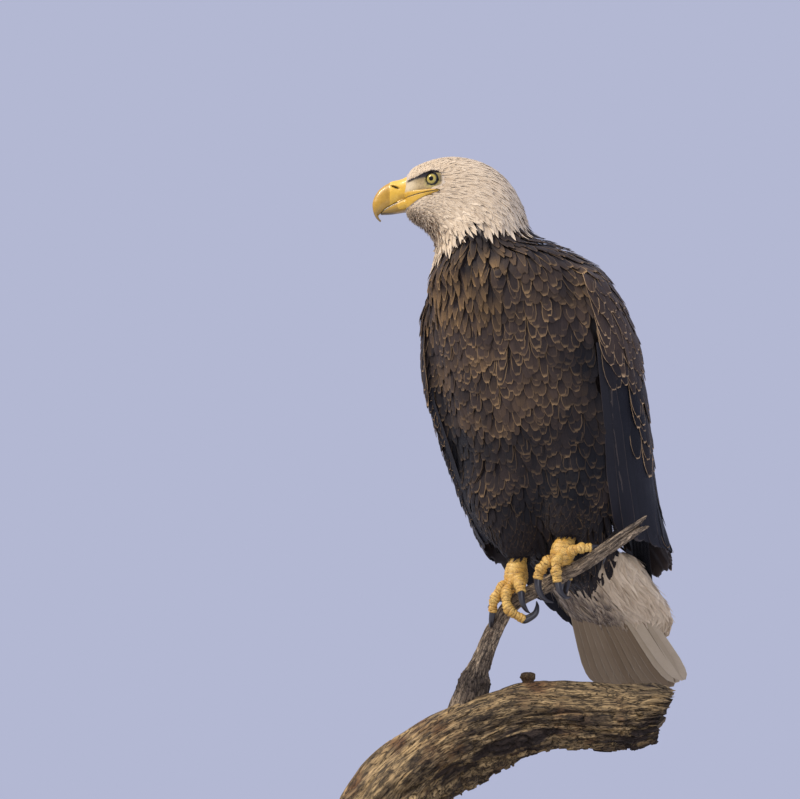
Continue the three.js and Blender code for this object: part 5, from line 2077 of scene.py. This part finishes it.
def base():
    """A turned round plinth: a disc with a step, a cove and rounded edges."""
    deselect()
    bpy.ops.mesh.primitive_cylinder_add(vertices=128, radius=BASE_RADIUS, depth=BASE_THICKNESS,
                                        location=(0, 0, BASE_THICKNESS / 2))
    thing = fresh("stand_base_plinth")
    bpy.ops.object.mode_set(mode="EDIT")
    bpy.ops.mesh.select_mode(type="FACE")
    bpy.ops.mesh.select_all(action="DESELECT")
    bpy.ops.object.mode_set(mode="OBJECT")
    top = max(thing.data.polygons, key=lambda p: p.center.z)
    top.select = True
    bpy.ops.object.mode_set(mode="EDIT")
    for thickness, depth in ((0.007, 0.0), (0.003, -0.0018), (0.004, 0.0018)):
        bpy.ops.mesh.inset(thickness=thickness, depth=depth)
    bpy.ops.object.mode_set(mode="OBJECT")
    modify(thing, "BEVEL", width=0.0022, segments=3, limit_method="ANGLE", angle_limit=0.5)
    smooth(thing, 40)
    return finished(thing, BASE_FINISH, "base_wood", "stand_base")


def rods():
    for n in (1, 2):
        low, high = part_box(f"stand_rod_{n}")
        middle = (low + high) / 2
        deselect()
        bpy.ops.mesh.primitive_cylinder_add(vertices=40, radius=ROD_RADIUS, depth=high.z - low.z,
                                            location=middle)
        rod = fresh(f"stand_rod_{n}_steel")
        modify(rod, "BEVEL", width=0.0008, segments=2, limit_method="ANGLE", angle_limit=0.5)
        smooth(rod, 40)
        finished(rod, STEEL_FINISH, "rod_steel", f"stand_rod_{n}")
        deselect()
        bpy.ops.mesh.primitive_torus_add(location=(middle.x, middle.y, BASE_THICKNESS + 0.0015),
                                         major_radius=ROD_RADIUS + 0.003, minor_radius=0.0026,
                                         major_segments=40, minor_segments=12)
        collar = fresh(f"stand_collar_{n}")
        smooth(collar, 60)
        finished(collar, STEEL_FINISH, "rod_steel")


# ---- The bird ----
shell = outer_shell()
ground = Ground(shell)
filled = bridged(shell)
swollen_breast(filled)
coat_ground = Ground(filled)
bpy.data.objects.remove(filled)
lands = map_of_lands()
find_on_neck = neck_places()
head_coat(ground).build(WHITE_FEATHER, "white_plumage")
collar_coat(coat_ground).build(WHITE_FEATHER, "white_plumage")
for part_coat in body_coat(coat_ground, lands, find_on_neck, ground):
    part_coat.build(BROWN_FEATHER, "brown_plumage")
thigh_coat(coat_ground).build(BROWN_FEATHER, "brown_plumage")
covert_coat(ground).build(WHITE_FEATHER, "white_plumage", *TAIL_COVERTS)
tail_coat().build(TAIL_FEATHER, "white_plumage", "tail")
for side, name in ((1, "left"), (-1, "right")):
    small_covert, wing_covert, wing_quill = wing_coats(
        side, name, ground if side > 0 else coat_ground, lands)
    small_covert.build(WING_FEATHER, "brown_plumage")
    wing_covert.build(WING_FEATHER, "brown_plumage")
    wing_quill.build(FLIGHT_FEATHER, "flight_feathers")
    primary_coat(name, side).build(FLIGHT_FEATHER, "flight_feathers", f"primaries_{name}")
    eyeball(side, name)
bill_pieces = bill()
lips(shell, bill_pieces)
whole_skin(shell, lands, find_on_neck)
bpy.data.objects.remove(shell)
talons()

# ---- Its perch and stand ----
limb()
branch()
base()
rods()

# ---- Room, camera and light ----
CAMERA_AT = Vector((1.7066, -2.8981, 0.1026))
CAMERA_AIM = Vector((-0.0677, -0.0586, 0.693))
FOCAL_LENGTH, SENSOR_WIDTH = 117.7, 36  # mm


def floor():
    deselect()
    bpy.ops.mesh.primitive_plane_add(size=14)
    thing = fresh("floor")
    thing.data.materials.append(FLOOR_FINISH)


def aimed(data, place, aim):
    """A camera or lamp at a place, turned to what it is aimed at."""
    thing = bpy.data.objects.new(data.name, data)
    thing.location = place
    thing.rotation_euler = (Vector(aim) - Vector(place)).to_track_quat("-Z", "Y").to_euler()
    bpy.context.scene.collection.objects.link(thing)
    return thing


def camera():
    data = bpy.data.cameras.new("camera")
    data.lens, data.sensor_width = FOCAL_LENGTH, SENSOR_WIDTH
    bpy.context.scene.camera = aimed(data, CAMERA_AT, CAMERA_AIM)


def lamp(name, place, aim, power, size, tint):
    data = bpy.data.lights.new(name, "AREA")
    data.energy, data.size, data.color = power, size, tint
    aimed(data, place, aim)


SKY = colour(179, 184, 211)


def room():
    """A plain pale room: even where the camera looks, brighter from above than from below."""
    world = bpy.data.worlds.new("room")
    world.use_nodes = True
    tree = world.node_tree
    tree.nodes.clear()
    spot = node(tree, "ShaderNodeTexCoord").outputs["Generated"]
    up = node(tree, "ShaderNodeSeparateXYZ", {0: spot})
    glow = span(tree, up.outputs[2], -0.5, 0.9, 0.30, 1.55)
    seen = node(tree, "ShaderNodeBackground", {"Color": SKY, "Strength": 1.0})
    cast = node(tree, "ShaderNodeBackground", {"Color": SKY, "Strength": glow})
    straight = node(tree, "ShaderNodeLightPath").outputs["Is Camera Ray"]
    both = node(tree, "ShaderNodeMixShader", {0: straight, 1: cast.outputs[0], 2: seen.outputs[0]})
    node(tree, "ShaderNodeOutputWorld", {"Surface": both.outputs[0]})
    bpy.context.scene.world = world
    bpy.context.scene.view_settings.view_transform = "Standard"
    lamp("key", (-1.7, -2.7, 4.0), (0, 0, 0.7), 175, 1.1, (1.0, 0.88, 0.72))
    lamp("fill", (2.6, -3.0, 0.5), (0, 0, 0.6), 36, 2.4, (0.95, 0.95, 1.0))


floor()
camera()
room()
